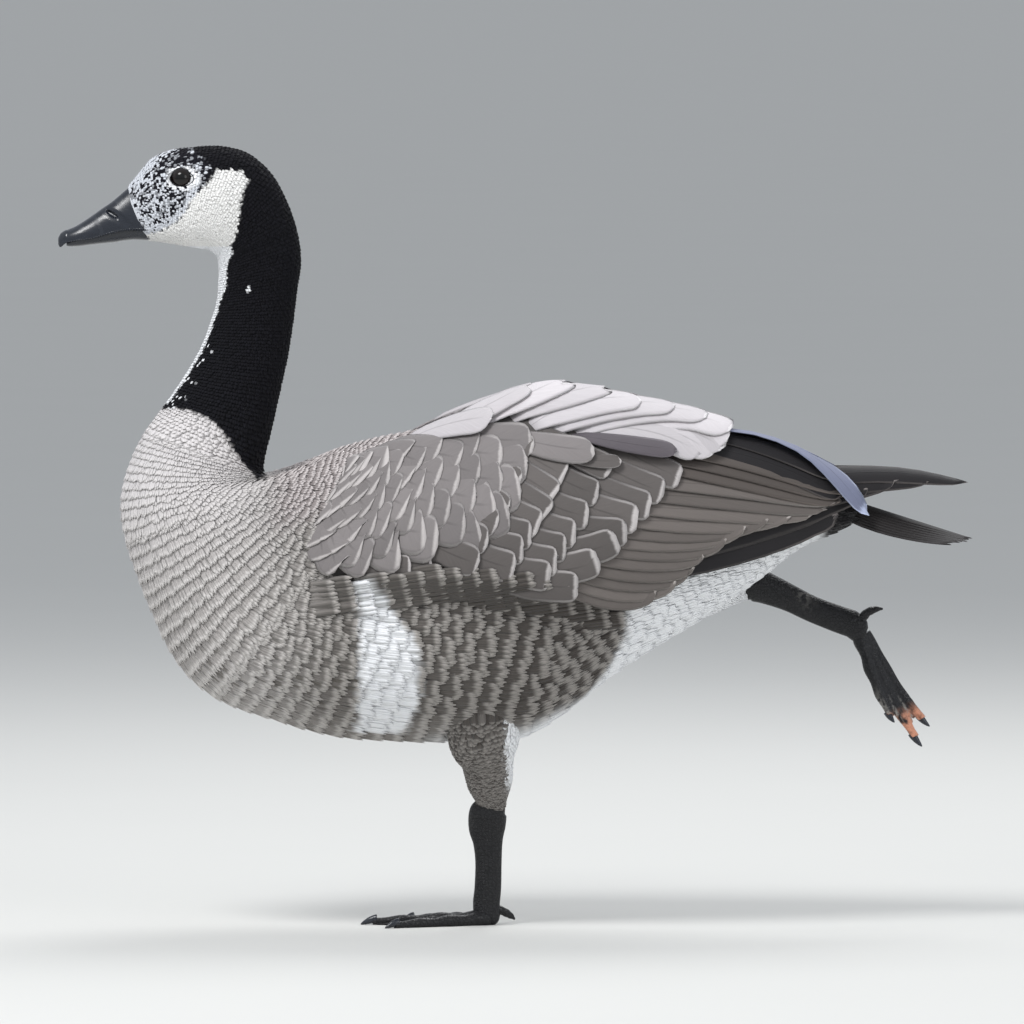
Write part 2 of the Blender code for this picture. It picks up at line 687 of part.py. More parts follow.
def make_leg(word, side, rows, spread, curl, place, torso):
    """One leg: thigh, shank and foot. The thigh is cut to the torso with a thin gap."""
    half = GAP / 2
    thigh = loft(word + "_thigh", limb_rings(rows, 0, THIGH_END, end_gap=half))
    cut(thigh, grown(torso, GAP))
    shank = loft(word + "_shank", limb_rings(rows, THIGH_END, SHANK_END, half, half))
    pieces = make_foot(word + "_foot", side, spread, curl, place)
    end = limb_rings(rows, SHANK_END - 1, SHANK_END, end_gap=-half)[-1]
    centre = end.mean(axis=0)
    joint = np.array(place.translation / MM)
    ankle = [end]
    for share, size in ((0.45, 1.0), (0.8, 0.86), (1.0, 0.5)):
        ankle.append(centre + (joint - centre) * share + (end - centre) * size)
    pieces.append(tube("hind_toe", HIND_TOES[word], HIND_TOE_RADII))
    foot = fuse(word + "_foot", [loft("ankle", ankle), *pieces])
    if side < 0:
        level_sole(foot)
    finishes = ("body_plumage", "leg_skin", "leg_skin")
    return [finish(part, name) for part, name in zip((thigh, shank, foot), finishes)]


def make_legs(torso):
    """The left leg stands, and the right leg is stretched back with its foot hanging."""
    ankle = LEFT_LEG[SHANK_END]
    standing = Matrix.Translation(Vector((ankle[0] + 0.4, ankle[1], 0.0)) * MM)
    ankle = RIGHT_LEG[SHANK_END]
    down = Vector((0.40, -0.10, -0.91)).normalized()
    inner = Vector((-0.70, -0.66, 0.0))
    inner = (inner - inner.dot(down) * down).normalized()
    axes = Matrix((-down, -inner, down.cross(inner))).transposed()
    hanging = axes.to_4x4()
    hanging.translation = Vector((ankle[0] + 10.0, ankle[1] - 1.0, ankle[2] - 7.0)) * MM
    made = make_leg("left", -1, LEFT_LEG, 1.0, 0.0, standing, torso)
    return made + make_leg("right", 1, RIGHT_LEG, 0.55, 0.25, hanging, torso)


def wing_rows(x):
    """Top edge, widest height and half width of the folded wings at some values of x."""
    table = np.array(WING)
    at = np.interp(x, table[:, 0], np.arange(len(table)))
    return smooth_rows(table[:, 1:], np.atleast_1d(at))


def wing_surface(x, angle, lift, side):
    """Points over the folded wings. At each x the surface is a quarter oval from the widest line
    (angle 0) to the top (90 degrees), and a longer one below, moved out by lift."""
    x, angle, lift = np.broadcast_arrays(np.asarray(x, float), np.radians(angle), lift)
    top, level, half = wing_rows(x.ravel()).T.reshape(3, *x.shape)
    rise = np.where(angle > 0, top - level, WING_DROP)
    outward = np.stack([np.cos(angle) / half, np.sin(angle) / rise])
    outward = outward / np.linalg.norm(outward, axis=0)
    y = half * np.cos(angle) + lift * outward[0]
    z = level + rise * np.sin(angle) + lift * outward[1]
    return np.stack([x, side * y, z], axis=-1)


def vane(name, centres, sides, normals, widths):
    """A feather's vane: a thin blade along its centres, flat across and thinner at the tip."""
    half = 0.5 * VANE_THICKNESS * np.linspace(1.0, 0.6, len(centres))
    edges = np.stack([centres - sides * widths[:, None], centres + sides * widths[:, None]], axis=1)
    offset = (normals * half[:, None])[:, None]
    return slab(name, edges + offset, edges - offset)


def wing_vane(name, root, tip, width, sink, rise, roll, side):
    """A vane laid on the wing from root to tip, its root sunk in the core and its tip raised. Its
    lower edge is lifted, so that each vane covers the next one below."""
    steps = np.array(VANE_STEPS)
    x = root[0] + (tip[0] - root[0]) * steps
    angle = root[1] + (tip[1] - root[1]) * steps
    lift = sink + (rise - sink) * steps
    centres = wing_surface(x, angle, lift, side)
    normals = wing_surface(x, angle, lift + 1.0, side) - centres
    path = np.gradient(centres, axis=0)
    path /= np.linalg.norm(path, axis=1)[:, None]
    sides = np.cross(normals, path)
    sides /= np.linalg.norm(sides, axis=1)[:, None]
    sides *= np.where(sides[:, 2] > 0, -1.0, 1.0)[:, None]
    normals = np.cross(path, sides)
    outward = wing_surface(x, angle, lift + 1.0, side) - centres
    normals *= np.sign((normals * outward).sum(axis=1))[:, None]
    tilted = sides + normals * (roll / (2 * width))
    tilted /= np.linalg.norm(tilted, axis=1)[:, None]
    return vane(name, centres, tilted, normals, width * np.array(VANE_SHAPE))


def wing_core(side):
    """The wing's body under its feathers, from the wing's surface inwards."""
    table = np.array(WING_CORE)
    x = np.linspace(table[0, 0], table[-1, 0], CORE_STEPS)
    low, high, thick = (np.interp(x, table[:, 0], table[:, column]) for column in (1, 2, 3))
    share = np.linspace(0, 1, CORE_ACROSS)
    angle = low[:, None] + (high - low)[:, None] * share
    across = np.broadcast_to(x[:, None], angle.shape)
    outer = wing_surface(across, angle, CORE_LIFT, side)
    inner = wing_surface(across, angle, -np.broadcast_to(thick[:, None], angle.shape), side)
    return slab("wing_core", outer, inner)


def make_wing(word, side, torso):
    """A folded wing: its core and the tiers of coverts, scapulars and flight feathers."""
    chance = random.Random(7 + side)
    pieces = [wing_core(side)]
    for tier, values in TIERS.items():
        count, first, last, first_tip, last_tip, width, sink, rise, roll, deeper = values
        for index in range(count):
            share = index / (count - 1)
            root = [a + (b - a) * share for a, b in zip(first, last)]
            tip = [a + (b - a) * share for a, b in zip(first_tip, last_tip)]
            tip[0] += (tip[0] - root[0]) * chance.uniform(-VANE_LENGTH_SPREAD, VANE_LENGTH_SPREAD)
            name = f"{tier}_{index}"
            depth = deeper * index
            vane_piece = wing_vane(name, root, tip, width, sink - depth, rise - depth, roll, side)
            pieces.append(vane_piece)
    wing = fuse("wing_" + word, pieces)
    cut(wing, grown(torso, GAP))
    return finish(wing, "wing_plumage")


def tail_vane(side, index, centre):
    """One tail feather. It turns outwards with its rank, and lies lower than its inner neighbour."""
    rank = index + 0.5
    turn, slope = math.radians(TAIL_FAN * rank * side), math.radians(TAIL_SLOPE)
    direction = np.array([math.cos(turn), math.sin(turn), math.tan(slope)])
    direction /= np.linalg.norm(direction)
    length = TAIL_LENGTH * (1 - TAIL_SHORTER * (2 * rank / TAIL_FEATHERS) ** 2)
    base = centre + np.array([TAIL_ROOT[0], side * rank * TAIL_STAGGER, TAIL_ROOT[1]])
    base[2] -= TAIL_FALL * rank
    centres = base + np.outer(np.array(VANE_STEPS) * length, direction)
    across = np.cross((0.0, 0.0, 1.0), direction)
    sides = np.broadcast_to(across / np.linalg.norm(across), centres.shape)
    normals = np.cross(np.broadcast_to(direction, centres.shape), sides)
    widths = TAIL_HALF_WIDTH * np.array(VANE_SHAPE)
    return vane(f"rectrix_{side}_{index}", centres, sides, normals, widths)


def make_tail():
    """The tail: a short wedge behind the torso, with the feathers' roots sunk in it."""
    rings = body_rings(TORSO_END - 1, TORSO_END, BODY_ROUND, BODY_STEP, end_gap=-GAP / 2)
    root = rings[-1]
    centre = root.mean(axis=0)
    slope = math.radians(TAIL_SLOPE)
    back = np.array([math.cos(slope), 0.0, math.sin(slope)])
    wedge = [root]
    for share, width, height in ((0.5, 0.9, 0.75), (1.0, 0.7, 0.35)):
        ring = (root - centre) * np.array([0.3 * (1 - share), width, height])
        wedge.append(centre + back * TAIL_CORE_LENGTH * share + ring)
    pieces = [loft("tail_core", wedge)]
    for side in (-1, 1):
        for index in range(TAIL_FEATHERS // 2):
            pieces.append(tail_vane(side, index, centre + back * 14.0))
    return finish(fuse("tail", pieces), "tail_plumage")


def main():
    """Builds the goose and gathers its parts in one collection, under one empty."""
    clear_scene()
    torso = make_torso()
    parts = [torso, *make_head(), *make_neck(), *make_bill(), make_tail()]
    parts += make_legs(torso)
    parts += [make_wing("left", -1, torso), make_wing("right", 1, torso)]
    goose = bpy.data.collections.new(NAME)
    bpy.context.scene.collection.children.link(goose)
    carrier = bpy.data.objects.new(NAME + "_origin", None)
    goose.objects.link(carrier)
    for part in parts:
        for old in list(part.users_collection):
            old.objects.unlink(part)
        goose.objects.link(part)
        part.parent = carrier


main()
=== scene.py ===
"""The looks of a life-size canada goose: skin, feathers, bill, eyes, legs and feet.

The file is laid out as an add-on and is run as a script. Lengths in the tables and in the formulas
are millimetres, and they become metres when points are put into a mesh. The bird faces -X, stands on
its left foot and stretches its right leg out behind.
"""

import math

import bpy
import numpy as np
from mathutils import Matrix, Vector


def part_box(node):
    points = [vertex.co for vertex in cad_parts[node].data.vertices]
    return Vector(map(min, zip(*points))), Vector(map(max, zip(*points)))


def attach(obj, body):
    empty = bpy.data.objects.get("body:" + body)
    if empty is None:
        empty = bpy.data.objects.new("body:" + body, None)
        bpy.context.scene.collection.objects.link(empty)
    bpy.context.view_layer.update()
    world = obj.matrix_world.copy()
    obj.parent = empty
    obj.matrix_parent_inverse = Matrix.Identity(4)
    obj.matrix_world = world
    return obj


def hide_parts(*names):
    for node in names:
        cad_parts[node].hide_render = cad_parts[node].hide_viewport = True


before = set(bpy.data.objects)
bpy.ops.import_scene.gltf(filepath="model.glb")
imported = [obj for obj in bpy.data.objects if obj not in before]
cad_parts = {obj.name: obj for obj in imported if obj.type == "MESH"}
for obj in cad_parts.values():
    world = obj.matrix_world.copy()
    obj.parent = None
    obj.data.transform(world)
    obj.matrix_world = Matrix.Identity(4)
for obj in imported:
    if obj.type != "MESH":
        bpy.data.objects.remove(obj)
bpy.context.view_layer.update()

bl_info = {
    "name": "Canada Goose Model",
    "version": (1, 0, 0),
    "blender": (4, 5, 0),
    "location": "View3D > Sidebar > Goose",
    "description": "Builds the skin, feathers, bill, eyes and legs of a life-size goose",
    "category": "Object",
}

MM = 0.001

# Size of a feather's patch in the baking map
BAKE_PATCH = 0.003

# Stations of head, neck and torso, from the bill's base to the root of the tail. Each row is the
# front or lower edge (x, z), the rear or upper edge (x, z), the half width, and how much wider the
# section is towards its lower edge.
SPINE = (
    (-199.2, 465.8, -213.5, 499.8, 12.4, 0.12),
    (-193.1, 465.1, -205.4, 510.0, 15.6, 0.10),
    (-187.0, 464.4, -195.8, 521.0, 18.2, 0.12),
    (-180.9, 463.4, -183.6, 526.7, 20.2, 0.14),
    (-174.8, 462.4, -168.0, 529.0, 21.6, 0.14),
    (-168.6, 461.4, -149.6, 529.7, 22.6, 0.12),
    (-162.5, 460.4, -130.6, 525.0, 23.0, 0.08),
    (-156.4, 459.0, -114.2, 510.7, 23.0, 0.05),
    (-151.6, 454.9, -103.4, 491.0, 22.8, 0.0),
    (-150.3, 448.1, -96.6, 469.9, 22.6, 0.0),
    (-150.3, 437.9, -94.5, 450.8, 22.6, 0.0),
    (-151.6, 423.6, -97.2, 430.4, 22.8, 0.0),
    (-156.4, 408.0, -100.0, 408.0, 23.4, 0.0),
    (-163.2, 391.0, -103.4, 386.9, 24.8, 0.0),
    (-172.7, 374.7, -108.1, 365.2, 27.4, 0.0),
    (-182.2, 360.4, -113.6, 340.7, 31.5, 0.0),
    (-191.8, 347.5, -119.7, 314.8, 37.5, 0.0),
    (-201.3, 333.9, -118.3, 306.7, 43.5, 0.0),
    (-210.1, 316.2, -111.5, 304.0, 50.0, 0.02),
    (-216.2, 294.4, -100.6, 307.4, 58.0, 0.04),
    (-216.2, 274.0, -87.0, 315.5, 65.5, 0.06),
    (-210.1, 249.6, -70.7, 323.4, 73.0, 0.07),
    (-197.2, 215.6, -53.0, 329.2, 79.5, 0.10),
    (-178.8, 178.8, -34.0, 333.6, 85.0, 0.13),
    (-152.3, 154.4, -13.6, 337.4, 87.0, 0.15),
    (-114.2, 140.1, 10.2, 343.0, 88.5, 0.16),
    (-71.4, 128.5, 35.4, 350.0, 88.5, 0.16),
    (-27.2, 125.1, 61.2, 355.5, 87.0, 0.16),
    (15.0, 125.1, 87.0, 357.0, 83.0, 0.15),
    (54.4, 127.2, 111.5, 351.5, 77.0, 0.14),
    (85.0, 144.8, 136.0, 343.0, 69.0, 0.12),
    (112.2, 166.6, 160.5, 332.0, 60.5, 0.09),
    (142.8, 187.0, 185.0, 320.0, 51.5, 0.06),
    (176.8, 207.4, 209.0, 307.5, 42.5, 0.02),
    (210.8, 230.5, 234.0, 296.0, 34.5, 0.0),
    (244.8, 256.4, 257.8, 288.0, 28.0, 0.0),
    (268.0, 266.6, 276.0, 284.0, 24.0, 0.0),
)
TORSO_END = 36.0

# Rows of feathers: at each station, how far apart the rows lie along the side and how wide a
# feather is
ROW_TABLE = (
    (0.0, 1.25, 1.15),
    (6.0, 1.6, 1.4),
    (10.0, 1.9, 1.7),
    (15.0, 2.4, 2.0),
    (17.0, 3.0, 5.0),
    (19.0, 4.2, 8.0),
    (22.0, 6.6, 12.0),
    (26.0, 11.0, 16.0),
    (30.0, 13.5, 18.0),
    (33.0, 9.0, 13.0),
    (36.0, 6.0, 10.0),
)

# The folded wings' outer surface at each x: top edge, widest height and half width
WING = (
    (-130.0, 296.0, 239.0, 72.0),
    (-100.0, 310.0, 238.0, 82.5),
    (-60.0, 329.5, 237.0, 94.5),
    (-10.0, 344.5, 238.0, 98.0),
    (40.0, 359.0, 240.0, 98.0),
    (72.0, 366.0, 243.0, 95.5),
    (105.0, 362.5, 248.0, 89.5),
    (150.0, 353.5, 255.0, 76.5),
    (190.0, 343.5, 262.0, 61.0),
    (230.0, 331.0, 271.0, 45.0),
    (262.0, 319.0, 279.0, 33.0),
    (290.0, 316.0, 288.0, 24.0),
    (320.0, 313.0, 295.0, 17.0),
    (356.0, 305.0, 298.0, 11.0),
)
WING_DROP = 110.0

# The wing's bed under its feathers: x, lowest and highest angle of its edge, and thickness
WING_BED = (
    (-92.0, 10.0, 40.0, 6.0),
    (-76.0, 2.0, 60.0, 11.0),
    (-40.0, 2.0, 70.0, 14.0),
    (20.0, 0.0, 78.0, 16.0),
    (80.0, -5.0, 82.0, 16.0),
    (130.0, -7.0, 82.0, 14.0),
    (170.0, -2.0, 80.0, 11.0),
    (200.0, 8.0, 70.0, 8.0),
)

# Columns of the shoulder feathers' tips seen from the side: highest, middle and lowest (x, z)
SHOULDER_COLUMNS = (
    (-80.2, 302.6, -92.5, 291.0, -102.0, 276.8),
    (-72.1, 307.4, -84.3, 291.0, -93.2, 268.6),
    (-61.2, 314.2, -72.1, 294.4, -85.7, 256.4),
    (-53.0, 316.2, -61.2, 292.4, -80.2, 246.8),
    (-42.2, 319.6, -46.9, 289.0, -72.1, 241.4),
    (-29.2, 325.0, -29.9, 292.4, -53.0, 242.8),
    (-16.3, 327.1, -15.6, 294.4, -32.6, 248.2),
    (6.8, 329.8, 4.8, 297.2, -10.9, 258.4),
    (27.2, 331.2, 30.6, 299.2, 13.6, 263.2),
    (61.2, 335.2, 57.1, 306.7, 36.7, 274.0),
)

# Tiers of wing feathers, from the lowest layer up: count, half width, height of root and tip over
# the wing's surface, lift of the lower edge, kind of colour, depth of the pale band at the tip,
# outline, and paths. A path is a feather's root, middle and tip seen from the side, each as (x, z),
# for the lowest to the highest feather of the tier.
TIERS = {
    "primary": (5, 10.0, -5.0, -1.5, 0.8, "flight", 1.6, "long", (
        (108.8, 236.0, 200.6, 257.0, 269.3, 281.5),
        (122.4, 246.4, 238.0, 283.8, 294.4, 302.6),
        (136.0, 257.0, 244.8, 294.0, 324.4, 303.6),
        (149.6, 267.2, 251.6, 306.6, 357.0, 301.9))),
    "secondary": (12, 8.4, -4.5, 0.3, 1.2, "quill", 1.4, "long", (
        (74.8, 238.7, 117.0, 226.4, 146.2, 231.9),
        (78.9, 246.8, 129.2, 236.6, 167.3, 243.4),
        (83.0, 256.4, 136.0, 249.6, 174.8, 251.6),
        (91.8, 267.2, 153.0, 261.8, 199.2, 270.0),
        (102.0, 278.1, 170.0, 272.7, 225.8, 279.5),
        (114.2, 291.7, 185.0, 286.3, 253.0, 281.5),
        (125.8, 306.7, 197.2, 300.6, 267.2, 289.0))),
    "tertial": (3, 9.5, -4.2, 1.0, 1.4, "tertial", 1.6, "long", (
        (139.4, 317.6, 202.6, 306.7, 270.6, 289.7),
        (151.0, 327.1, 209.4, 317.6, 275.4, 295.8))),
    "edge": (8, 8.5, -4.0, 0.4, -0.6, "covert", 2.2, "blunt", (
        (-61.2, 258.4, -47.6, 248.2, -32.6, 245.5),
        (-30.6, 265.2, -15.0, 253.6, 0.0, 250.9),
        (-6.8, 275.4, 10.9, 261.8, 28.6, 258.4),
        (10.2, 280.8, 28.6, 267.2, 44.2, 261.8))),
    "greater": (8, 11.0, -4.0, 1.0, -0.5, "covert", 3.2, "blunt", (
        (32.6, 242.1, 62.6, 236.6, 93.2, 235.3),
        (44.2, 261.8, 80.2, 253.0, 116.3, 262.5),
        (64.6, 295.8, 95.2, 282.2, 128.5, 274.7),
        (81.6, 319.6, 115.6, 300.6, 144.2, 289.7),
        (102.0, 340.0, 131.9, 321.6, 161.8, 307.4))),
    "median": (7, 11.0, -4.0, 1.5, -0.5, "covert", 3.2, "blunt", (
        (19.0, 255.7, 46.2, 246.2, 73.4, 240.7),
        (29.9, 283.6, 59.8, 266.6, 85.7, 261.1),
        (44.2, 310.8, 73.4, 290.4, 99.3, 281.5),
        (64.6, 343.4, 91.1, 325.7, 116.3, 312.8))),
    "lesser": (7, 11.2, -4.0, 1.9, -0.5, "covert", 3.0, "blunt", (
        (0.0, 268.6, 25.8, 255.0, 50.3, 248.2),
        (10.2, 293.1, 38.1, 275.4, 62.6, 269.3),
        (20.4, 314.8, 49.0, 298.5, 72.1, 283.6),
        (35.4, 340.0, 61.2, 321.6, 83.6, 308.7))),
    "small": (6, 11.4, -4.0, 2.2, -0.45, "covert", 2.4, "broad", (
        (-17.0, 270.0, 5.4, 258.4, 25.8, 250.9),
        (-6.8, 295.8, 16.3, 280.8, 36.7, 272.7),
        (1.4, 319.6, 25.8, 302.6, 48.3, 291.0),
        (13.6, 343.4, 40.8, 332.5, 63.9, 326.4))),
    "tucked": (1, 6.0, -2.0, 3.0, 0.8, "covert", 1.2, "broad", (
        (78.9, 324.4, 102.0, 318.9, 122.4, 318.2),
        (78.9, 324.4, 102.0, 318.9, 122.4, 318.2))),
    "large": (1, 11.5, -3.0, 3.8, 0.8, "shoulder", 1.6, "broad", (
        (40.8, 338.0, 71.4, 328.4, 102.7, 323.7),
        (40.8, 338.0, 71.4, 328.4, 102.7, 323.7))),
    # The pale tier, and the crest and back tiers below, take the pale colours: a painted highlight that
    # makes the top of the back near white for the light on it.
    "pale": (4, 13.0, -3.0, 4.2, 0.3, "pale", 0.9, "broad", (
        (98.6, 340.7, 139.4, 336.6, 174.8, 320.3),
        (115.6, 343.4, 156.4, 338.0, 187.0, 321.0),
        (129.2, 340.7, 170.0, 336.6, 194.5, 329.1))),
    "oval": (1, 8.6, -2.5, 5.8, 1.4, "dusky", 1.0, "broad", (
        (89.8, 336.9, 123.8, 328.8, 158.4, 322.6),
        (89.8, 336.9, 123.8, 328.8, 158.4, 322.6))),
    # crest and back: pale colours, a painted highlight of the light on the top of the back.
    "crest": (5, 13.0, -2.0, 3.4, 0.0, "pale", 0.9, "broad", (
        (-4.0, 350.0, 28.0, 362.0, 62.0, 369.0),
        (56.0, 372.0, 92.0, 372.0, 128.0, 366.0),
        (88.0, 370.0, 124.0, 366.0, 160.0, 356.0))),
    "back": (8, 17.0, -3.5, 4.8, 0.3, "pale", 0.9, "broad", (
        (-23.8, 332.5, 6.8, 340.7, 36.7, 344.1),
        (8.2, 340.7, 39.4, 354.3, 68.0, 367.2),
        (44.2, 348.8, 76.2, 359.7, 106.1, 363.1),
        (64.6, 343.4, 102.0, 354.3, 139.4, 352.9),
        (85.0, 340.7, 125.8, 351.6, 171.4, 346.1),
        (112.2, 338.0, 155.0, 346.1, 196.5, 334.6))),
    # inner: two near-black feathers under the drooping quill, a painted shadow that fills with dark the gap
    # where there is only shade.
    "inner": (2, 9.0, -3.0, 2.6, 0.3, "flight", 1.0, "long", (
        (168.0, 330.0, 222.0, 316.0, 270.0, 292.0),
        (168.0, 338.0, 222.0, 325.0, 268.0, 304.0))),
    "drooping": (1, 8.6, -2.0, 7.5, 4.0, "slate", 6.0, "long", (
        (176.0, 338.0, 241.0, 322.0, 287.6, 280.5),
        (176.0, 338.0, 241.0, 322.0, 287.6, 280.5))),
}

# The upper border of the flank's tufts that lie over the folded wing's lower edge, as x and z
FRINGE_TOP = ((-71.0, 239.0), (-41.0, 241.0), (13.6, 249.0), (61.0, 243.0), (85.0, 238.0), (109.0, 227.0),
              (124.0, 216.0))
FRINGE_BANDS, FRINGE_TUFTS, FLANK_START = 17, 14, 20.0
# A tuft's length and how far it drops to its root, the step down from tuft to tuft, the bands' lean
# back and the height of the wave along their tops
FRINGE_LENGTH, FRINGE_DROP, FRINGE_STEP, FRINGE_LEAN, FRINGE_WAVE = 24.0, 3.5, 1.5, 0.25, 2.2
# Where the bands grow shorter towards the rear, and by what share
FRINGE_REAR, FRINGE_SHORTER = (95.0, 130.0), 0.55
# Degrees below the wing's edge between which a tuft passes from the wing to the body
FRINGE_BLEND = (-2.0, 9.0)

# The floor's half width in metres, the sky's colour and strength, and each light's name, place,
# width and power
FLOOR_HALF = 200.0
SKY_COLOUR, SKY_STRENGTH = (0.86, 0.90, 0.96, 1.0), 0.62
LIGHTS = (("key", (-1.2, -1.5, 2.7), 1.3, 68.0), ("fill", (1.9, -1.9, 1.3), 1.6, 12.0),
          ("rim", (0.6, 1.8, 2.4), 1.6, 36.0))

# Where the tuft map of a wing's feathers starts, and its span, as x and the wing's angle
WING_MAP_START, WING_MAP_SPAN = (-150.0, -40.0), (420.0, 140.0)

# The outlines of vanes and tufts: share of the half width at each share of the length
LONG_STEPS = (0.0, 0.12, 0.25, 0.38, 0.5, 0.61, 0.71, 0.79, 0.86, 0.92, 0.965, 1.0)
LONG_SHAPES = {
    "long": (0.35, 0.62, 0.8, 0.92, 0.98, 1.0, 0.99, 0.95, 0.87, 0.73, 0.52, 0.12),
    "broad": (0.4, 0.62, 0.79, 0.9, 0.97, 1.0, 1.0, 1.0, 0.96, 0.86, 0.67, 0.3),
    "blunt": (0.35, 0.6, 0.8, 0.93, 1.0, 1.0, 1.0, 1.0, 1.0, 0.96, 0.85, 0.58),
}
TUFT_STEPS = (0.0, 0.5, 0.82, 1.0)
TUFT_SHAPE = (0.8, 1.0, 0.66, 0.06)
BARB_STEPS = (0.0, 0.4, 0.7, 0.88, 1.0)
BARB_SHAPE = (0.7, 1.0, 1.0, 0.84, 0.22)

# The tail: its root, the fan of its feathers, and how they lie
TAIL_ROOT, TAIL_SLOPE = (266.0, 277.5), -10.5
TAIL_FEATHERS, TAIL_LENGTH, TAIL_HALF_WIDTH = 16, 95.0, 9.6
TAIL_FAN, TAIL_ROOF, TAIL_CROWN = 2.3, 0.0045, 13.0

# Legs from the hip to the foot: place (x, y, z), half depth along the bird, half width across it
LEFT_LEG = (
    (27.0, -38.0, 158.0, 25.0, 22.0),
    (30.2, -30.0, 126.0, 23.6, 19.5),
    (32.4, -25.0, 112.0, 17.6, 15.5),
    (33.8, -20.5, 97.0, 15.0, 12.0),
    (34.6, -16.4, 84.5, 10.2, 8.0),
    (32.6, -14.4, 76.5, 12.8, 8.2),
    (32.0, -12.2, 66.0, 12.4, 6.8),
    (32.6, -10.2, 56.0, 10.0, 5.6),
    (33.0, -8.0, 43.0, 9.0, 5.2),
    (32.6, -5.0, 26.0, 9.1, 5.4),
    (31.6, -3.4, 15.5, 9.2, 6.2),
)
RIGHT_LEG = (
    (70.0, 50.0, 205.0, 33.0, 20.0),
    (108.0, 55.0, 209.0, 29.0, 19.0),
    (150.0, 57.0, 216.0, 21.5, 15.5),
    (182.0, 54.0, 222.5, 14.6, 12.0),
    (206.0, 51.0, 228.0, 10.0, 8.2),
    (216.0, 50.2, 228.6, 11.4, 8.4),
    (227.0, 49.4, 225.0, 10.4, 7.0),
    (240.0, 48.6, 219.4, 9.2, 5.6),
    (254.0, 47.6, 212.6, 8.9, 5.2),
    (270.0, 46.6, 206.4, 9.2, 5.5),
    (281.0, 46.0, 202.6, 9.4, 6.2),
)
THIGH_END, SHANK_END = 4.0, 10.0

# Toes: length with the claw, turn from straight ahead (inner side positive), radius at the base, and
# how far the root stands behind the joint and to the inner side
TOES = {
    "middle": (86.0, 0.0, 5.3, 0.0, 0.0),
    "inner": (66.0, 26.0, 4.9, 1.2, 2.3),
    "outer": (77.0, -25.0, 5.0, 0.7, -2.4),
}
CLAW_SHARE, TOE_TIP = 0.095, 0.5
HIND_TOES = {
    "left": ((33.0, -2.0, 10.4), (41.5, -0.6, 9.4), (47.5, 0.4, 6.2), (51.0, 1.0, 3.4)),
    "right": ((285.5, 45.4, 201.5), (291.0, 43.4, 209.5), (297.0, 42.6, 212.4), (302.5, 42.2, 213.0)),
}
HIND_TOE_RADII = (3.3, 3.0, 2.3, 0.6)

# Upper and lower bill, from the head to the tip: lower edge (x, z), upper edge (x, z), half width
UPPER_BILL = (
    (-202.0, 472.4, -213.5, 499.8, 12.2),
    (-212.2, 472.6, -222.4, 492.3, 12.0),
    (-224.4, 470.2, -231.2, 486.2, 11.4),
    (-236.0, 466.8, -239.4, 480.4, 10.8),
    (-246.2, 465.7, -247.5, 475.3, 9.8),
    (-253.6, 464.0, -253.6, 472.7, 7.6),
    (-257.6, 461.2, -257.4, 470.2, 4.2),
    (-259.2, 463.0, -259.2, 467.2, 1.6),
)
LOWER_BILL = (
    (-199.2, 465.8, -201.6, 472.7, 10.6),
    (-210.1, 466.0, -212.2, 473.2, 10.4),
    (-223.7, 464.2, -224.4, 470.7, 9.8),
    (-235.3, 463.0, -236.0, 467.2, 9.2),
    (-244.1, 461.9, -244.8, 466.1, 8.0),
    (-251.0, 461.6, -251.0, 464.7, 5.6),
    (-253.6, 462.0, -253.6, 464.3, 3.0),
)

# The eye seen from the side, and the half length and half height of the lids' opening
EYE_AT, EYE_OPENING = (-174.8, 508.2), (7.6, 4.9)

# The nostril seen from the side: its middle (x, z), half length and half height
NOSTRIL = (-222.3, 483.6, 5.0, 1.6)

# The web's short edge at the joint (x, half width), its reach to the toe tips and its hollow
WEB_ROOT, WEB_REACH, WEB_HOLLOW = (-3.0, 3.1), 0.90, 0.76

# Outlines of the markings seen from the side (x, z)
CHEEK = (
    (-150.3, 514.0), (-134.6, 513.4), (-129.9, 506.6), (-134.0, 497.1), (-135.3, 489.6),
    (-136.0, 483.5), (-137.4, 471.9), (-140.1, 465.8), (-144.8, 460.4), (-148.9, 455.0),
    (-150.3, 450.9), (-156.0, 450.0), (-163.0, 456.0), (-212.0, 462.0), (-212.0, 468.4),
    (-200.0, 469.2), (-189.7, 471.9), (-178.2, 478.7), (-172.0, 484.8), (-169.3, 492.3),
    (-161.8, 499.8), (-153.7, 508.6),
)
FACE = (
    (-216.0, 500.0), (-207.4, 508.0), (-198.6, 520.0), (-187.0, 527.5), (-172.0, 531.0),
    (-163.0, 524.0), (-155.0, 515.0), (-158.4, 505.0), (-161.8, 499.8), (-169.3, 492.3),
    (-172.0, 484.8), (-178.2, 478.7), (-189.7, 471.9), (-200.0, 469.2), (-212.0, 470.0),
)
NECK_BASE = (
    (-220.0, 352.5), (-189.0, 351.6), (-178.2, 352.9), (-163.9, 348.8), (-153.7, 344.1),
    (-145.5, 335.2), (-139.4, 325.0), (-130.6, 312.8), (-123.1, 304.6), (-116.3, 306.7),
    (-90.0, 345.0),
)
FLANK_PATCH = (
    (-55.8, 239.4), (-54.4, 221.0), (-53.7, 193.8), (-55.1, 146.2), (-58.0, 134.0), (-27.2, 132.0),
    (-20.4, 140.1), (-14.3, 155.0), (-12.2, 182.2), (-16.3, 196.5), (-27.2, 211.5), (-37.4, 229.8),
    (-46.0, 240.0),
)
VENT_EDGE = (
    (127.0, 260.0), (125.8, 217.0), (124.4, 199.2), (117.0, 181.6), (106.0, 165.2), (93.2, 152.3),
    (68.0, 135.3), (50.0, 118.0),
)


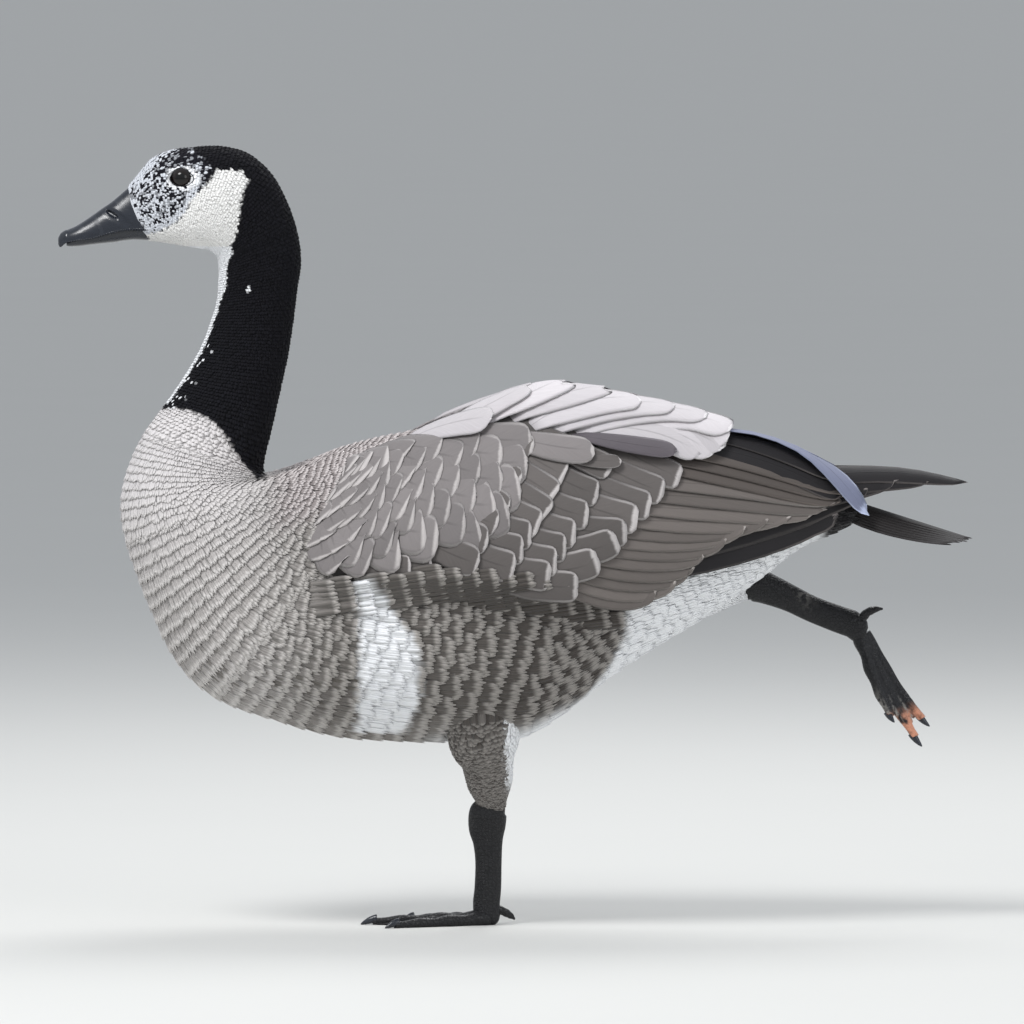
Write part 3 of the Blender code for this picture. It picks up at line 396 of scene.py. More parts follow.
def read(rows, at):
    """Reads a table at fractional row numbers, on a Catmull-Rom curve through its rows."""
    rows = np.asarray(rows, float)
    flat = np.ravel(at).astype(float)
    padded = np.vstack([2 * rows[0] - rows[1], rows, 2 * rows[-1] - rows[-2]])
    i = np.clip(np.floor(flat).astype(int), 0, len(rows) - 2)
    f = (flat - i)[:, None]
    a, b, c, d = padded[i], padded[i + 1], padded[i + 2], padded[i + 3]
    cubic = 3 * (b - c) + d - a
    value = b + 0.5 * f * (c - a + f * (2 * a - 5 * b + 4 * c - d + f * cubic))
    return value.reshape(*np.shape(at), rows.shape[1])


def ramp(value, low, high):
    """Rises from 0 at low to 1 at high, as 3t squared less 2t cubed."""
    share = np.clip((np.asarray(value, float) - low) / (high - low), 0.0, 1.0)
    return share * share * (3 - 2 * share)


def mix(first, second, share):
    """Blends two colours, or rows of them, by a share for each point."""
    share = np.asarray(share)[..., None]
    return np.asarray(first) * (1 - share) + np.asarray(second) * share


def unit(vectors):
    """Scales vectors to a length of one."""
    return vectors / np.maximum(np.linalg.norm(vectors, axis=-1, keepdims=True), 1e-12)


class Surface:
    """A surface that gives a point for two parameters, and can be left by some millimetres along its
    outward normal, which is the cross product of its two slopes."""

    def __init__(self, point, steps, sign):
        self.point = point
        self.steps = steps
        self.sign = sign

    def slopes(self, u, v):
        """Millimetres moved for one unit of each parameter."""
        du, dv = self.steps
        along = (self.point(u + du, v) - self.point(u - du, v)) / (2 * du)
        across = (self.point(u, v + dv) - self.point(u, v - dv)) / (2 * dv)
        return along, across

    def normal(self, u, v):
        """The outward normal."""
        along, across = self.slopes(u, v)
        return self.sign * unit(np.cross(along, across))

    def aside(self, u, v):
        """Steps of the two parameters that move a point a millimetre along the normal's cross
        product with the first slope, from the two slopes' products."""
        first, second = self.slopes(u, v)
        across = unit(np.cross(self.sign * unit(np.cross(first, second)), first))
        uu, uv, vv = (first ** 2).sum(-1), (first * second).sum(-1), (second ** 2).sum(-1)
        su, sv = (across * first).sum(-1), (across * second).sum(-1)
        spread = uu * vv - uv ** 2
        return (su * vv - sv * uv) / spread, (sv * uu - su * uv) / spread

    def at(self, u, v, lift):
        """The point moved out by lift."""
        return self.point(u, v) + self.normal(u, v) * np.asarray(lift)[..., None]


def body_point(s, t):
    """The body's oval at station s. It lies in the plane of its two edge points: the cosine of t
    goes along them, and its sine times the half width goes across, wider towards the low edge."""
    s, t = np.broadcast_arrays(s, t)
    low_x, low_z, high_x, high_z, width, weight = np.moveaxis(read(SPINE, s), -1, 0)
    along, across = np.cos(t), np.sin(t)
    x = (low_x + high_x) / 2 + (low_x - high_x) / 2 * along
    z = (low_z + high_z) / 2 + (low_z - high_z) / 2 * along
    y = width * np.sign(across) * np.abs(across) ** 0.9 * (1 + weight * along)
    return np.stack([x, y, z], axis=-1)


def wing_point(side):
    """Returns the folded wing's surface for one side: at each x a quarter oval from the widest line
    (angle 0) to the top (90 degrees), and a longer one below."""
    table = np.array(WING)

    def point(x, angle):
        x, angle = np.broadcast_arrays(np.asarray(x, float), np.radians(angle))
        at = np.interp(x, table[:, 0], np.arange(len(table)))
        top, level, half = np.moveaxis(read(table[:, 1:], at), -1, 0)
        rise = np.where(angle > 0, top - level, WING_DROP)
        return np.stack([x, side * half * np.cos(angle), level + rise * np.sin(angle)], axis=-1)

    return point


def limb_point(rows):
    """Returns a leg's surface: ovals square to its path, deep along the bird, narrow across it."""

    def point(s, t):
        s, t = np.broadcast_arrays(s, t)
        here = read(rows, s)
        path = unit(read(rows, s + 0.05)[..., :3] - read(rows, s - 0.05)[..., :3])
        deep = unit(np.cross(np.array([0.0, 1.0, 0.0]), path))
        wide = np.cross(path, deep)
        out = here[..., 3:4] * np.cos(t)[..., None] * deep + here[..., 4:5] * np.sin(t)[..., None] * wide
        return here[..., :3] + out

    return point


BODY = Surface(body_point, (0.05, 0.02), -1)
WINGS = {side: Surface(wing_point(side), (2.0, 1.0), -side) for side in (-1, 1)}
THIGHS = {"left": Surface(limb_point(LEFT_LEG), (0.05, 0.05), -1),
          "right": Surface(limb_point(RIGHT_LEG), (0.05, 0.05), -1)}


def body_place(x, z, first=0.0, last=9.0):
    """Station and turn of a point of the left side seen from the side. The station is found by
    halving the span from first to last, by the side of the ring's plane that the point lies on. The
    turn is the arc cosine of the point's place along the ring."""
    x, z = np.broadcast_arrays(np.asarray(x, float), np.asarray(z, float))
    low, high = np.full(x.shape, first), np.full(x.shape, last)
    for _ in range(30):
        middle = (low + high) / 2
        row = read(SPINE, middle)
        chord = row[..., 2:4] - row[..., 0:2]
        past = chord[..., 0] * (z - row[..., 1]) - chord[..., 1] * (x - row[..., 0]) > 0
        low, high = np.where(past, low, middle), np.where(past, middle, high)
    row = read(SPINE, low)
    half = (row[..., 0:2] - row[..., 2:4]) / 2
    centre = (row[..., 0:2] + row[..., 2:4]) / 2
    share = ((x - centre[..., 0]) * half[..., 0] + (z - centre[..., 1]) * half[..., 1])
    share = share / (half ** 2).sum(axis=-1)
    return low, -np.arccos(np.clip(share, -1.0, 1.0))


def outline_depth(x, z, outline):
    """How deep points lie inside a closed outline, in millimetres, negative outside. It is the
    distance to the nearest edge, and a point is inside where a ray crosses an odd count of edges."""
    first = np.array(outline)
    second = np.roll(first, -1, axis=0)
    edge = second - first
    place = np.stack([x, z], axis=-1)[:, None, :] - first
    share = np.clip((place * edge).sum(-1) / (edge ** 2).sum(-1), 0, 1)
    distance = np.linalg.norm(place - share[..., None] * edge, axis=-1).min(axis=1)
    crosses = (first[:, 1] > z[:, None]) != (second[:, 1] > z[:, None])
    slope = np.where(edge[:, 1] == 0, 1e-9, edge[:, 1])
    reach = first[:, 0] + (z[:, None] - first[:, 1]) * edge[:, 0] / slope
    odd = (crosses & (x[:, None] < reach)).sum(axis=1) % 2 == 1
    return np.where(odd, distance, -distance)


def mesh_object(name, points, groups):
    """Makes a mesh object from points in millimetres and groups of faces with equally many corners."""
    mesh = bpy.data.meshes.new(name)
    loops = np.concatenate([group.ravel() for group in groups]).astype(np.int32)
    sizes = np.concatenate([np.full(len(group), group.shape[1]) for group in groups])
    starts = np.concatenate([[0], np.cumsum(sizes)[:-1]]).astype(np.int32)
    points = np.asarray(points, float).reshape(-1, 3)
    mesh.vertices.add(len(points))
    mesh.vertices.foreach_set("co", (points * MM).astype(np.float32).ravel())
    mesh.loops.add(len(loops))
    mesh.loops.foreach_set("vertex_index", loops)
    mesh.polygons.add(len(starts))
    mesh.polygons.foreach_set("loop_start", starts)
    mesh.update(calc_edges=True)
    mesh.validate()
    mesh.shade_smooth()
    made = bpy.data.objects.new(name, mesh)
    bpy.context.scene.collection.objects.link(made)
    return made


def set_map(mesh, name, places):
    """Writes a UV map from one place for each point."""
    corners = np.empty(len(mesh.loops), np.int32)
    mesh.loops.foreach_get("vertex_index", corners)
    layer = mesh.uv_layers.new(name=name)
    layer.uv.foreach_set("vector", places[corners].astype(np.float32).ravel())


def set_colour(mesh, name, colours):
    """Writes a colour for each point."""
    colours = np.concatenate([colours, np.ones((len(colours), 1))], axis=1)
    attribute = mesh.attributes.new(name, "FLOAT_COLOR", "POINT")
    attribute.data.foreach_set("color", colours.astype(np.float32).ravel())


def set_value(mesh, name, values):
    """Writes a number for each point."""
    attribute = mesh.attributes.new(name, "FLOAT", "POINT")
    attribute.data.foreach_set("value", np.asarray(values, np.float32).ravel())


def grid_faces(rows, columns, wrap):
    """Quads of a grid of points, closed round its columns where wrap is true."""
    index = np.arange(rows * columns).reshape(rows, columns)
    after = np.roll(index, -1, axis=1) if wrap else index[:, 1:]
    here = index if wrap else index[:, :-1]
    quads = np.stack([here[:-1], after[:-1], after[1:], here[1:]], axis=-1)
    return quads.reshape(-1, 4)


def tube_object(name, points):
    """A closed body over rings of points: quads between the rings, and a fan to a middle point at
    each end."""
    rows, columns = points.shape[:2]
    quads = grid_faces(rows, columns, True)
    ring = np.arange(columns)
    after = np.roll(ring, -1)
    last = (rows - 1) * columns
    size = rows * columns
    start = np.stack([after, ring, np.full(columns, size)], axis=-1)
    end = np.stack([last + ring, last + after, np.full(columns, size + 1)], axis=-1)
    centres = np.stack([points[0].mean(axis=0), points[-1].mean(axis=0)])
    return mesh_object(name, np.concatenate([points.reshape(-1, 3), centres]), [quads, start, end])


def plate_object(name, top, bottom):
    """A closed thin body between two like grids of points, with a wall round their edges."""
    rows, columns = top.shape[:2]
    size = rows * columns
    upper = grid_faces(rows, columns, False)
    index = np.arange(size).reshape(rows, columns)
    rim = np.concatenate([index[0, :-1], index[:-1, -1], index[-1, :0:-1], index[:0:-1, 0]])
    after = np.roll(rim, -1)
    wall = np.stack([after, rim, size + rim, size + after], axis=-1)
    points = np.concatenate([top.reshape(-1, 3), bottom.reshape(-1, 3)])
    return mesh_object(name, points, [upper, size + upper[:, ::-1], wall])


def outward(made):
    """Turns a closed mesh's faces out where its volume comes out negative. The volume is the sum of
    the pyramids from the origin to each triangle."""
    mesh = made.data
    mesh.calc_loop_triangles()
    corners = np.empty(len(mesh.loop_triangles) * 3, np.int32)
    mesh.loop_triangles.foreach_get("vertices", corners)
    points = np.empty(len(mesh.vertices) * 3, np.float32)
    mesh.vertices.foreach_get("co", points)
    a, b, c = np.moveaxis(points.reshape(-1, 3)[corners.reshape(-1, 3)].astype(float), 1, 0)
    if (a * np.cross(b, c)).sum() < 0:
        mesh.flip_normals()
    return made


def union(name, pieces):
    """Joins closed pieces into one body with a Boolean union, applied, and removes the pieces."""
    body = pieces[0]
    operands = bpy.data.collections.new(name + "_pieces")
    bpy.context.scene.collection.children.link(operands)
    for piece in pieces[1:]:
        bpy.context.scene.collection.objects.unlink(piece)
        operands.objects.link(piece)
    change = body.modifiers.new("union", "BOOLEAN")
    change.operation = "UNION"
    change.operand_type = "COLLECTION"
    change.collection = operands
    change.solver = "MANIFOLD"
    bpy.context.view_layer.update()
    evaluated = body.evaluated_get(bpy.context.evaluated_depsgraph_get())
    result = bpy.data.meshes.new_from_object(evaluated)
    body.modifiers.clear()
    body.data = result
    body.name = name
    for piece in pieces[1:]:
        bpy.data.objects.remove(piece, do_unlink=True)
    bpy.data.collections.remove(operands)
    result.shade_smooth()
    return body


def lay_vanes(surface, paths, half, lift, camber, roll, columns, fray, seed):
    """Points of many feathers, as rows by columns on each. A feather follows its path on the
    surface, and a column's place across is its share of the half width, turned into the surface's
    own parameters. Its height is the path's lift, plus a camber that falls off with the square of
    that share, plus a roll in proportion to it. Fray moves the tip's columns along by chance."""
    chance = np.random.default_rng(seed)
    u, v = paths[..., 0], paths[..., 1]
    centre = surface.point(u, v)
    along_u, along_v = surface.slopes(u, v)
    normal = surface.sign * unit(np.cross(along_u, along_v))
    heading = unit(np.gradient(centre, axis=1))
    across = unit(np.cross(normal, heading))
    uu, uv, vv = (along_u ** 2).sum(-1), (along_u * along_v).sum(-1), (along_v ** 2).sum(-1)
    su, sv = (across * along_u).sum(-1), (across * along_v).sum(-1)
    spread = uu * vv - uv ** 2
    step_u, step_v = (su * vv - sv * uv) / spread, (sv * uu - su * uv) / spread
    share = np.linspace(-1, 1, columns)
    out = half[..., None] * share
    at_u = u[..., None] + step_u[..., None] * out
    at_v = v[..., None] + step_v[..., None] * out
    tip = np.linspace(0, 1, u.shape[1]) ** 6
    slip = chance.uniform(-1, 1, (len(u), 1, columns)) * fray * tip[:, None]
    at_u = at_u + (u[:, -1] - u[:, 0])[:, None, None] * slip
    at_v = at_v + (v[:, -1] - v[:, 0])[:, None, None] * slip
    height = lift[..., None] + camber * (1 - share ** 2) + roll * share
    return surface.at(at_u, at_v, height)


def coat_object(name, points, roots, colours, chance, reach):
    """Joins feathers into one mesh. Each is a closed thin body: its grid of rows by columns faces
    the light, and a flat strip from edge to edge lies under it. The map named vane holds each
    point's share across and along its feather, and OFBake a small patch at its root's place. Colours
    are given for each feather, or for each row of its points."""
    count, rows, columns = points.shape[:3]
    index = np.arange(rows * columns).reshape(rows, columns)
    top = grid_faces(rows, columns, False)
    under = np.stack([index[:-1, 0], index[1:, 0], index[1:, -1], index[:-1, -1]], axis=-1)
    root, tip = index[0, ::-1][None], index[-1][None]
    shift = (np.arange(count) * rows * columns)[:, None, None]
    groups = [(group[None] + shift).reshape(-1, group.shape[1]) for group in (top, under, root, tip)]
    made = mesh_object(name, points, groups)
    steps = next(steps for steps in (LONG_STEPS, BARB_STEPS, TUFT_STEPS) if len(steps) == rows)
    share_x, share_y = np.meshgrid(np.linspace(0, 1, columns), steps)
    vane = np.broadcast_to(np.stack([share_x, share_y], -1), (count, rows, columns, 2))
    patch = roots[:, None, None, :] + (vane - 0.5) * BAKE_PATCH
    each = rows * columns
    spread = [np.repeat(value, each if len(value) == count else columns, axis=0) for value in colours]
    set_map(made.data, "OFBake", patch.reshape(-1, 2))
    set_map(made.data, "vane", vane.reshape(-1, 2))
    set_colour(made.data, "ground", spread[0])
    set_colour(made.data, "fringe", spread[1])
    set_value(made.data, "chance", np.repeat(chance, each))
    set_value(made.data, "reach", np.repeat(reach, each))
    return outward(made)


def colour(name):
    """A colour of the settings, as an array."""
    return np.array(getattr(bpy.context.scene.goose_colours, name))


def is_black(x, z):
    """How far above the neck's lower border a point lies, in millimetres."""
    border = np.array(NECK_BASE)
    return z - np.interp(x, border[:, 0], border[:, 1])


def plumage(points, chance, spread):
    """Colours of the plumage at some points: its ground and the fringe of its feathers. They are laid
    in order: breast, flank, back, dark rump, belly, flecks, the white patch and vent, and the black.
    The edges of the patch, the vent and the black are moved by chance, up to spread millimetres
    either way, as feather tips do."""
    x, y, z = np.moveaxis(points, -1, 0)
    wander = (chance - 0.5) * 2 * spread
    second = (chance * 7919.0) % 1.0
    pale = ramp(z - 0.55 * (x + 190), 190, 350)
    ground = mix(colour("breast"), colour("breast_top"), pale)
    fringe = mix(colour("breast_fringe"), colour("breast_top"), pale * 0.7)
    rear = ramp(x + 0.1 * (z - 200), -130, 110)
    side = ramp(x, -150, -60)
    ground = mix(ground, mix(colour("flank"), colour("flank_rear"), rear), side)
    fringe = mix(fringe, mix(colour("flank_fringe"), colour("rear_fringe"), rear), side)
    back = ramp(z - 0.35 * x, 300, 322) * ramp(x, -125, -95)
    ground = mix(ground, colour("mantle"), back)
    fringe = mix(fringe, colour("mantle_fringe"), back)
    rump = ramp(x, 150, 172) * ramp(z + 0.35 * (x - 170), 306, 312) * ramp(-x, -262, -250)
    rump = np.maximum(rump, ramp(x, 256, 264) * ramp(z, 258, 264))
    ground, fringe = mix(ground, colour("flight"), rump), mix(fringe, colour("flight"), rump)
    under = ramp(-np.abs(y), -46, -20) * ramp(-z, -160, -140) * ramp(x, -20, 20) * (z > 118)
    patch = ramp(outline_depth(x, z, FLANK_PATCH) + wander, -1.5, 1.5)
    edge = np.array(VENT_EDGE)[::-1]
    vent = x - np.interp(z, edge[:, 1], edge[:, 0]) + wander
    vent = ramp(vent, -2, 3) * ramp(-(z - 0.35 * (x - 130)), -262, -250)
    white = np.maximum(np.maximum(patch, vent), under)
    white = np.maximum(white * (1 - rump), ramp(x, 236, 246) * (1 - rump))
    belly = ramp(-z, -150, -132) * ramp(x, -130, -90) * (1 - side * 0.3)
    ground = mix(ground, colour("belly"), belly * 0.8)
    fringe = mix(fringe, colour("breast_fringe"), belly * 0.5)
    fleck = (second < 0.12) * ramp(-z, -215, -170) * ramp(-x, 10, 60)
    ground = mix(ground, colour("fleck"), fleck * 0.65)
    ground = mix(ground, colour("white"), white)
    fringe = mix(fringe, colour("white"), white)
    black = ramp(is_black(x, z) + wander, -1.0, 1.0) * (x < -80)
    neck = colour("black") * (0.8 + 0.5 * second[..., None])
    ground = ground * (1 - black[..., None]) + neck * black[..., None]
    fringe = fringe * (1 - black[..., None]) + neck * black[..., None]
    return head_marks(x, y, z, ground, fringe, chance, second, wander)


def head_marks(x, y, z, ground, fringe, chance, second, wander):
    """Adds the head's white cheek and throat, its flecked face and eye ring, and the white line
    with a few flecks down the front of the neck."""
    face = outline_depth(x, z, FACE)
    rise = (x + 205) * 0.3 + (z - 480) * 0.72
    dark = 0.16 + 0.40 * ramp(rise, -6, 14) + 0.34 * ramp(rise, 22, 42)
    dark = dark * ramp(face, 0.0, 7.0) + 0.04
    dark = np.maximum(dark, 0.97 * ramp(x, -184, -176) * ramp(z - 0.25 * (x + 175), 513, 517.5))
    dark = np.maximum(dark, 0.9 * ramp(x, -166, -161))
    spots = np.where(second < dark, 1.0, 0.0)
    shade = np.where((chance * 977.0) % 1.0 < 0.3, 0.62, 1.0)
    pale, dark = colour("white") * (0.84, 0.86, 0.90), colour("black") * 2.0
    mottle = mix(pale, dark, spots * shade + (1 - spots) * 0.1)
    inside = ramp(face + wander * 0.6, -0.6, 0.6)
    ground, fringe = mix(ground, mottle, inside), mix(fringe, mottle, inside)
    reach = np.hypot((x - EYE_AT[0]) / EYE_OPENING[0], (z - EYE_AT[1]) / EYE_OPENING[1])
    ring = ramp(-reach, -1.75, -1.6) * (z > 400) * (np.abs(y) > 8)
    gap = ramp(x, -186, -183) + ramp(-z, -506, -503)
    ring = ring * np.clip(gap, 0, 1) * (second > 0.06)
    ground, fringe = mix(ground, colour("white"), ring), mix(fringe, colour("white"), ring)
    cheek = ramp(outline_depth(x, z, CHEEK) + wander, -0.8, 0.8)
    cheek_white = colour("cheek")
    ground, fringe = mix(ground, cheek_white, cheek), mix(fringe, cheek_white, cheek)
    front = np.interp(z, [row[1] for row in SPINE[17:8:-1]], [row[0] for row in SPINE[17:8:-1]])
    width = np.interp(z, [352, 365, 390, 425, 433, 449, 456], [1.0, 2.0, 2.2, 2.6, 5.5, 5.8, 9.0])
    line = ramp(width + wander * 0.7 - (x - front), -0.5, 0.5) * (z > 355) * (z < 462)
    ground, fringe = mix(ground, colour("white"), line), mix(fringe, colour("white"), line)
    speck = (second > 0.93) * ramp(14 - (x - front), 0, 9) * (z > 352) * (z < 400)
    lone = np.hypot(x + 129.2, (z - 433.2) * 0.7) < 1.5
    speck = np.maximum(speck, lone)
    return mix(ground, colour("white"), speck), mix(fringe, colour("white"), speck)


COLOURS = {
    "black": ("Head and neck", (0.0042, 0.0042, 0.0065)),
    "cheek": ("Cheek and throat", (0.91, 0.90, 0.88)),
    "white": ("White plumage", (0.90, 0.91, 0.93)),
    "breast_top": ("Upper breast", (0.72, 0.69, 0.69)),
    "breast": ("Breast", (0.43, 0.405, 0.39)),
    "breast_fringe": ("Breast feather tips", (0.66, 0.63, 0.61)),
    "belly": ("Front of the belly", (0.29, 0.27, 0.25)),
    "fleck": ("Flecks of the belly", (0.10, 0.09, 0.075)),
    "flank": ("Front of the flank", (0.18, 0.165, 0.152)),
    "flank_fringe": ("Front flank feather tips", (0.41, 0.385, 0.36)),
    "flank_rear": ("Rear of the flank", (0.066, 0.057, 0.051)),
    "rear_fringe": ("Rear flank feather tips", (0.29, 0.27, 0.25)),
    "mantle": ("Upper back", (0.30, 0.265, 0.26)),
    "mantle_fringe": ("Upper back feather tips", (0.58, 0.53, 0.52)),
    "shoulder": ("Shoulder feathers", (0.205, 0.188, 0.186)),
    "shoulder_fringe": ("Shoulder feather tips", (0.47, 0.44, 0.43)),
    "covert": ("Wing coverts", (0.120, 0.108, 0.103)),
    "covert_fringe": ("Wing covert tips", (0.50, 0.47, 0.46)),
    # pale and pale_fringe are a painted highlight: the feathers on the top of the back are painted near
    # white for the light falling on them, over their own mid gray-brown.
    "pale": ("Long shoulder feathers", (0.54, 0.51, 0.525)),
    "pale_fringe": ("Long shoulder feather tips", (0.72, 0.695, 0.70)),
    "quill": ("Secondaries", (0.150, 0.132, 0.122)),
    "quill_fringe": ("Secondary tips", (0.36, 0.33, 0.31)),
    "tertial": ("Tertials", (0.090, 0.077, 0.070)),
    "tertial_fringe": ("Tertial tips", (0.24, 0.205, 0.185)),
    "dusky": ("Dark shoulder feather", (0.110, 0.096, 0.108)),
    "dusky_fringe": ("Dark shoulder feather tip", (0.26, 0.235, 0.26)),
    "slate": ("Drooping quill", (0.170, 0.185, 0.265)),
    "slate_fringe": ("Drooping quill edge", (0.46, 0.51, 0.68)),
    "flight": ("Primaries", (0.018, 0.0165, 0.018)),
    "flight_fringe": ("Primary tips", (0.19, 0.17, 0.165)),
    "tail": ("Tail", (0.017, 0.0145, 0.0145)),
    "tail_fringe": ("Tail feather tips", (0.032, 0.028, 0.028)),
    "bill": ("Bill", (0.009, 0.0112, 0.0165)),
    "leg": ("Legs", (0.008, 0.008, 0.009)),
    "toe": ("Bare toe tips", (0.66, 0.30, 0.19)),
    "web": ("Worn edge of the web", (0.26, 0.25, 0.23)),
    "iris": ("Iris", (0.006, 0.0036, 0.003)),
}


class GooseColours(bpy.types.PropertyGroup):
    """Colours of the plumage and the bare parts."""

    __annotations__ = {
        key: bpy.props.FloatVectorProperty(
            name=label, description=f"Colour of: {label.lower()}", default=default,
            subtype="COLOR", size=3, min=0.0, max=1.0)
        for key, (label, default) in COLOURS.items()
    }


class GooseCoat(bpy.types.PropertyGroup):
    """Sizes of the coat."""

    row_scale: bpy.props.FloatProperty(
        name="Row spacing", description="Scale of the distance between rows of body feathers",
        default=1.0, min=0.6, max=2.0, subtype="FACTOR")
    overlap: bpy.props.FloatProperty(
        name="Overlap", description="Rows that a body feather reaches across",
        default=2.3, min=1.3, max=4.0)
    depth: bpy.props.FloatProperty(
        name="Coat depth", description="Depth of the skin under the feathers' outer surface",
        default=0.0026, min=0.001, max=0.006, subtype="DISTANCE", unit="LENGTH")
    ruffle: bpy.props.FloatProperty(
        name="Ruffle", description="How unevenly the tips stand out from the body",
        default=0.0003, min=0.0, max=0.002, subtype="DISTANCE", unit="LENGTH")
    seed: bpy.props.IntProperty(
        name="Seed", description="Seed of the feathers' chance variation", default=11, min=0)


class GooseStage(bpy.types.PropertyGroup):
    """The camera's place, and the frame that it shows at the goose."""

    distance: bpy.props.FloatProperty(
        name="Distance", description="From the camera to the goose", default=9.0, min=2.0,
        subtype="DISTANCE", unit="LENGTH")
    elevation: bpy.props.FloatProperty(
        name="Elevation", description="How far the camera looks down", default=math.radians(2.5),
        subtype="ANGLE", unit="ROTATION")
    frame_width: bpy.props.FloatProperty(
        name="Frame width", description="Width that the picture shows at the goose",
        default=0.6963, subtype="DISTANCE", unit="LENGTH")
    aim: bpy.props.FloatVectorProperty(
        name="Aim", description="Middle of the picture", default=(0.049, 0.0, 0.281), size=3,
        subtype="XYZ", unit="LENGTH")


def add(tree, kind, inputs=None, **settings):
    """Adds a node. An input is linked where its value is a socket, and set where it isn't."""
    node = tree.nodes.new(kind)
    for key, value in settings.items():
        setattr(node, key, value)
    for key, value in (inputs or {}).items():
        if isinstance(value, bpy.types.NodeSocket):
            tree.links.new(value, node.inputs[key])
        else:
            node.inputs[key].default_value = value
    return node


def calc(tree, operation, *values, clamp=False):
    """A Math node's result."""
    inputs = dict(enumerate(values))
    return add(tree, "ShaderNodeMath", inputs, operation=operation, use_clamp=clamp).outputs[0]


def smooth(tree, value, low, high):
    """Rises smoothly from 0 at low to 1 at high."""
    inputs = {"Value": value, "From Min": low, "From Max": high}
    return add(tree, "ShaderNodeMapRange", inputs, interpolation_type="SMOOTHSTEP").outputs[0]


def blend(tree, share, first, second, kind="MIX"):
    """A Mix node's colour."""
    node = add(tree, "ShaderNodeMix", {0: share, 6: first, 7: second}, data_type="RGBA", blend_type=kind)
    return node.outputs[2]


def noise(tree, vector, scale, detail=2.0):
    """A noise texture's value."""
    inputs = {"Vector": vector, "Scale": scale, "Detail": detail}
    return add(tree, "ShaderNodeTexNoise", inputs).outputs[0]


def new_group(name, inputs, outputs):
    """Starts a node group with named sockets, and returns it with its input and output nodes."""
    tree = bpy.data.node_groups.new(name, "ShaderNodeTree")
    for label, kind, default in inputs:
        socket = tree.interface.new_socket(label, in_out="INPUT", socket_type="NodeSocket" + kind)
        if default is not None:
            socket.default_value = default
    for label, kind in outputs:
        tree.interface.new_socket(label, in_out="OUTPUT", socket_type="NodeSocket" + kind)
    return tree, tree.nodes.new("NodeGroupInput").outputs, tree.nodes.new("NodeGroupOutput").inputs


def vane_group():
    """The pattern of one feather. Its barbs run out and towards the tip, so they are lines of equal
    share along less a part of the share to the side. The fringe is a band where the share along,
    made ragged by the barbs, comes near one, and a fainter line down both edges."""
    found = bpy.data.node_groups.get("Feather Vane")
    if found:
        return found
    inputs = (("Place", "Vector", None), ("Ground", "Color", None), ("Fringe", "Color", None),
              ("Chance", "Float", 0.0), ("Band", "Float", 0.1), ("Edge", "Float", 0.1),
              ("Edge Strength", "Float", 0.5), ("Ragged", "Float", 0.05), ("Barbs", "Float", 40.0),
              ("Streak", "Float", 0.3))
    tree, given, made = new_group("Feather Vane", inputs, (("Color", "Color"), ("Height", "Float")))
    place = add(tree, "ShaderNodeSeparateXYZ", {0: given["Place"]}).outputs
    twice = calc(tree, "MULTIPLY_ADD", place[0], 2.0, -1.0)
    side = calc(tree, "ABSOLUTE", twice)
    flow = calc(tree, "MULTIPLY_ADD", side, -0.28, place[1])
    shift = calc(tree, "MULTIPLY", given["Chance"], 53.0)
    line = calc(tree, "MULTIPLY", flow, given["Barbs"])
    along_barb = calc(tree, "MULTIPLY_ADD", twice, 1.6, shift)
    vector = add(tree, "ShaderNodeCombineXYZ", {0: line, 1: along_barb, 2: shift}).outputs[0]
    barb = noise(tree, vector, 1.0)
    ragged = calc(tree, "MULTIPLY", calc(tree, "SUBTRACT", barb, 0.5), given["Ragged"])
    low = calc(tree, "SUBTRACT", 1.0, given["Band"])
    high = calc(tree, "MULTIPLY_ADD", given["Band"], -0.45, 1.0)
    band = smooth(tree, calc(tree, "ADD", place[1], ragged), low, high)
    low = calc(tree, "SUBTRACT", 1.0, given["Edge"])
    high = calc(tree, "MULTIPLY_ADD", given["Edge"], -0.4, 1.0)
    grow = calc(tree, "MULTIPLY_ADD", smooth(tree, place[1], 0.5, 0.96), 0.7, 0.3)
    strength = calc(tree, "MULTIPLY", grow, given["Edge Strength"])
    edge = calc(tree, "MULTIPLY", smooth(tree, side, low, high), strength)
    fringe = calc(tree, "MAXIMUM", band, edge)
    tone = calc(tree, "MULTIPLY_ADD", calc(tree, "SUBTRACT", barb, 0.5), given["Streak"], 1.0)
    mixed = blend(tree, fringe, given["Ground"], given["Fringe"])
    shaft = calc(tree, "MULTIPLY", smooth(tree, side, 0.07, 0.03), smooth(tree, place[1], 0.96, 0.7))
    tone = calc(tree, "MULTIPLY", tone, calc(tree, "MULTIPLY_ADD", shaft, -0.22, 1.0))
    toned = add(tree, "ShaderNodeCombineXYZ", {0: tone, 1: tone, 2: tone}).outputs[0]
    tree.links.new(blend(tree, 1.0, mixed, toned, "MULTIPLY"), made["Color"])
    height = calc(tree, "MULTIPLY_ADD", shaft, 0.7, barb)
    tree.links.new(height, made["Height"])
    return tree


def new_material(name, roughness, fixed=None):
    """Starts a material with a Principled BSDF, with the values that are the same all over set on
    its own sockets."""
    made = bpy.data.materials.new(name)
    made.use_nodes = True
    shader = made.node_tree.nodes["Principled BSDF"]
    shader.inputs["Roughness"].default_value = roughness
    for key, value in (fixed or {}).items():
        shader.inputs[key].default_value = value
    return made, made.node_tree, shader


def attribute(tree, name, output="Color"):
    """Reads one of the mesh's own attributes."""
    return add(tree, "ShaderNodeAttribute", attribute_name=name).outputs[output]


def bump(tree, shader, height, strength, distance):
    """Feeds a height in metres to the shader's normal."""
    inputs = {"Height": height, "Strength": strength, "Distance": distance}
    tree.links.new(add(tree, "ShaderNodeBump", inputs).outputs[0], shader.inputs["Normal"])


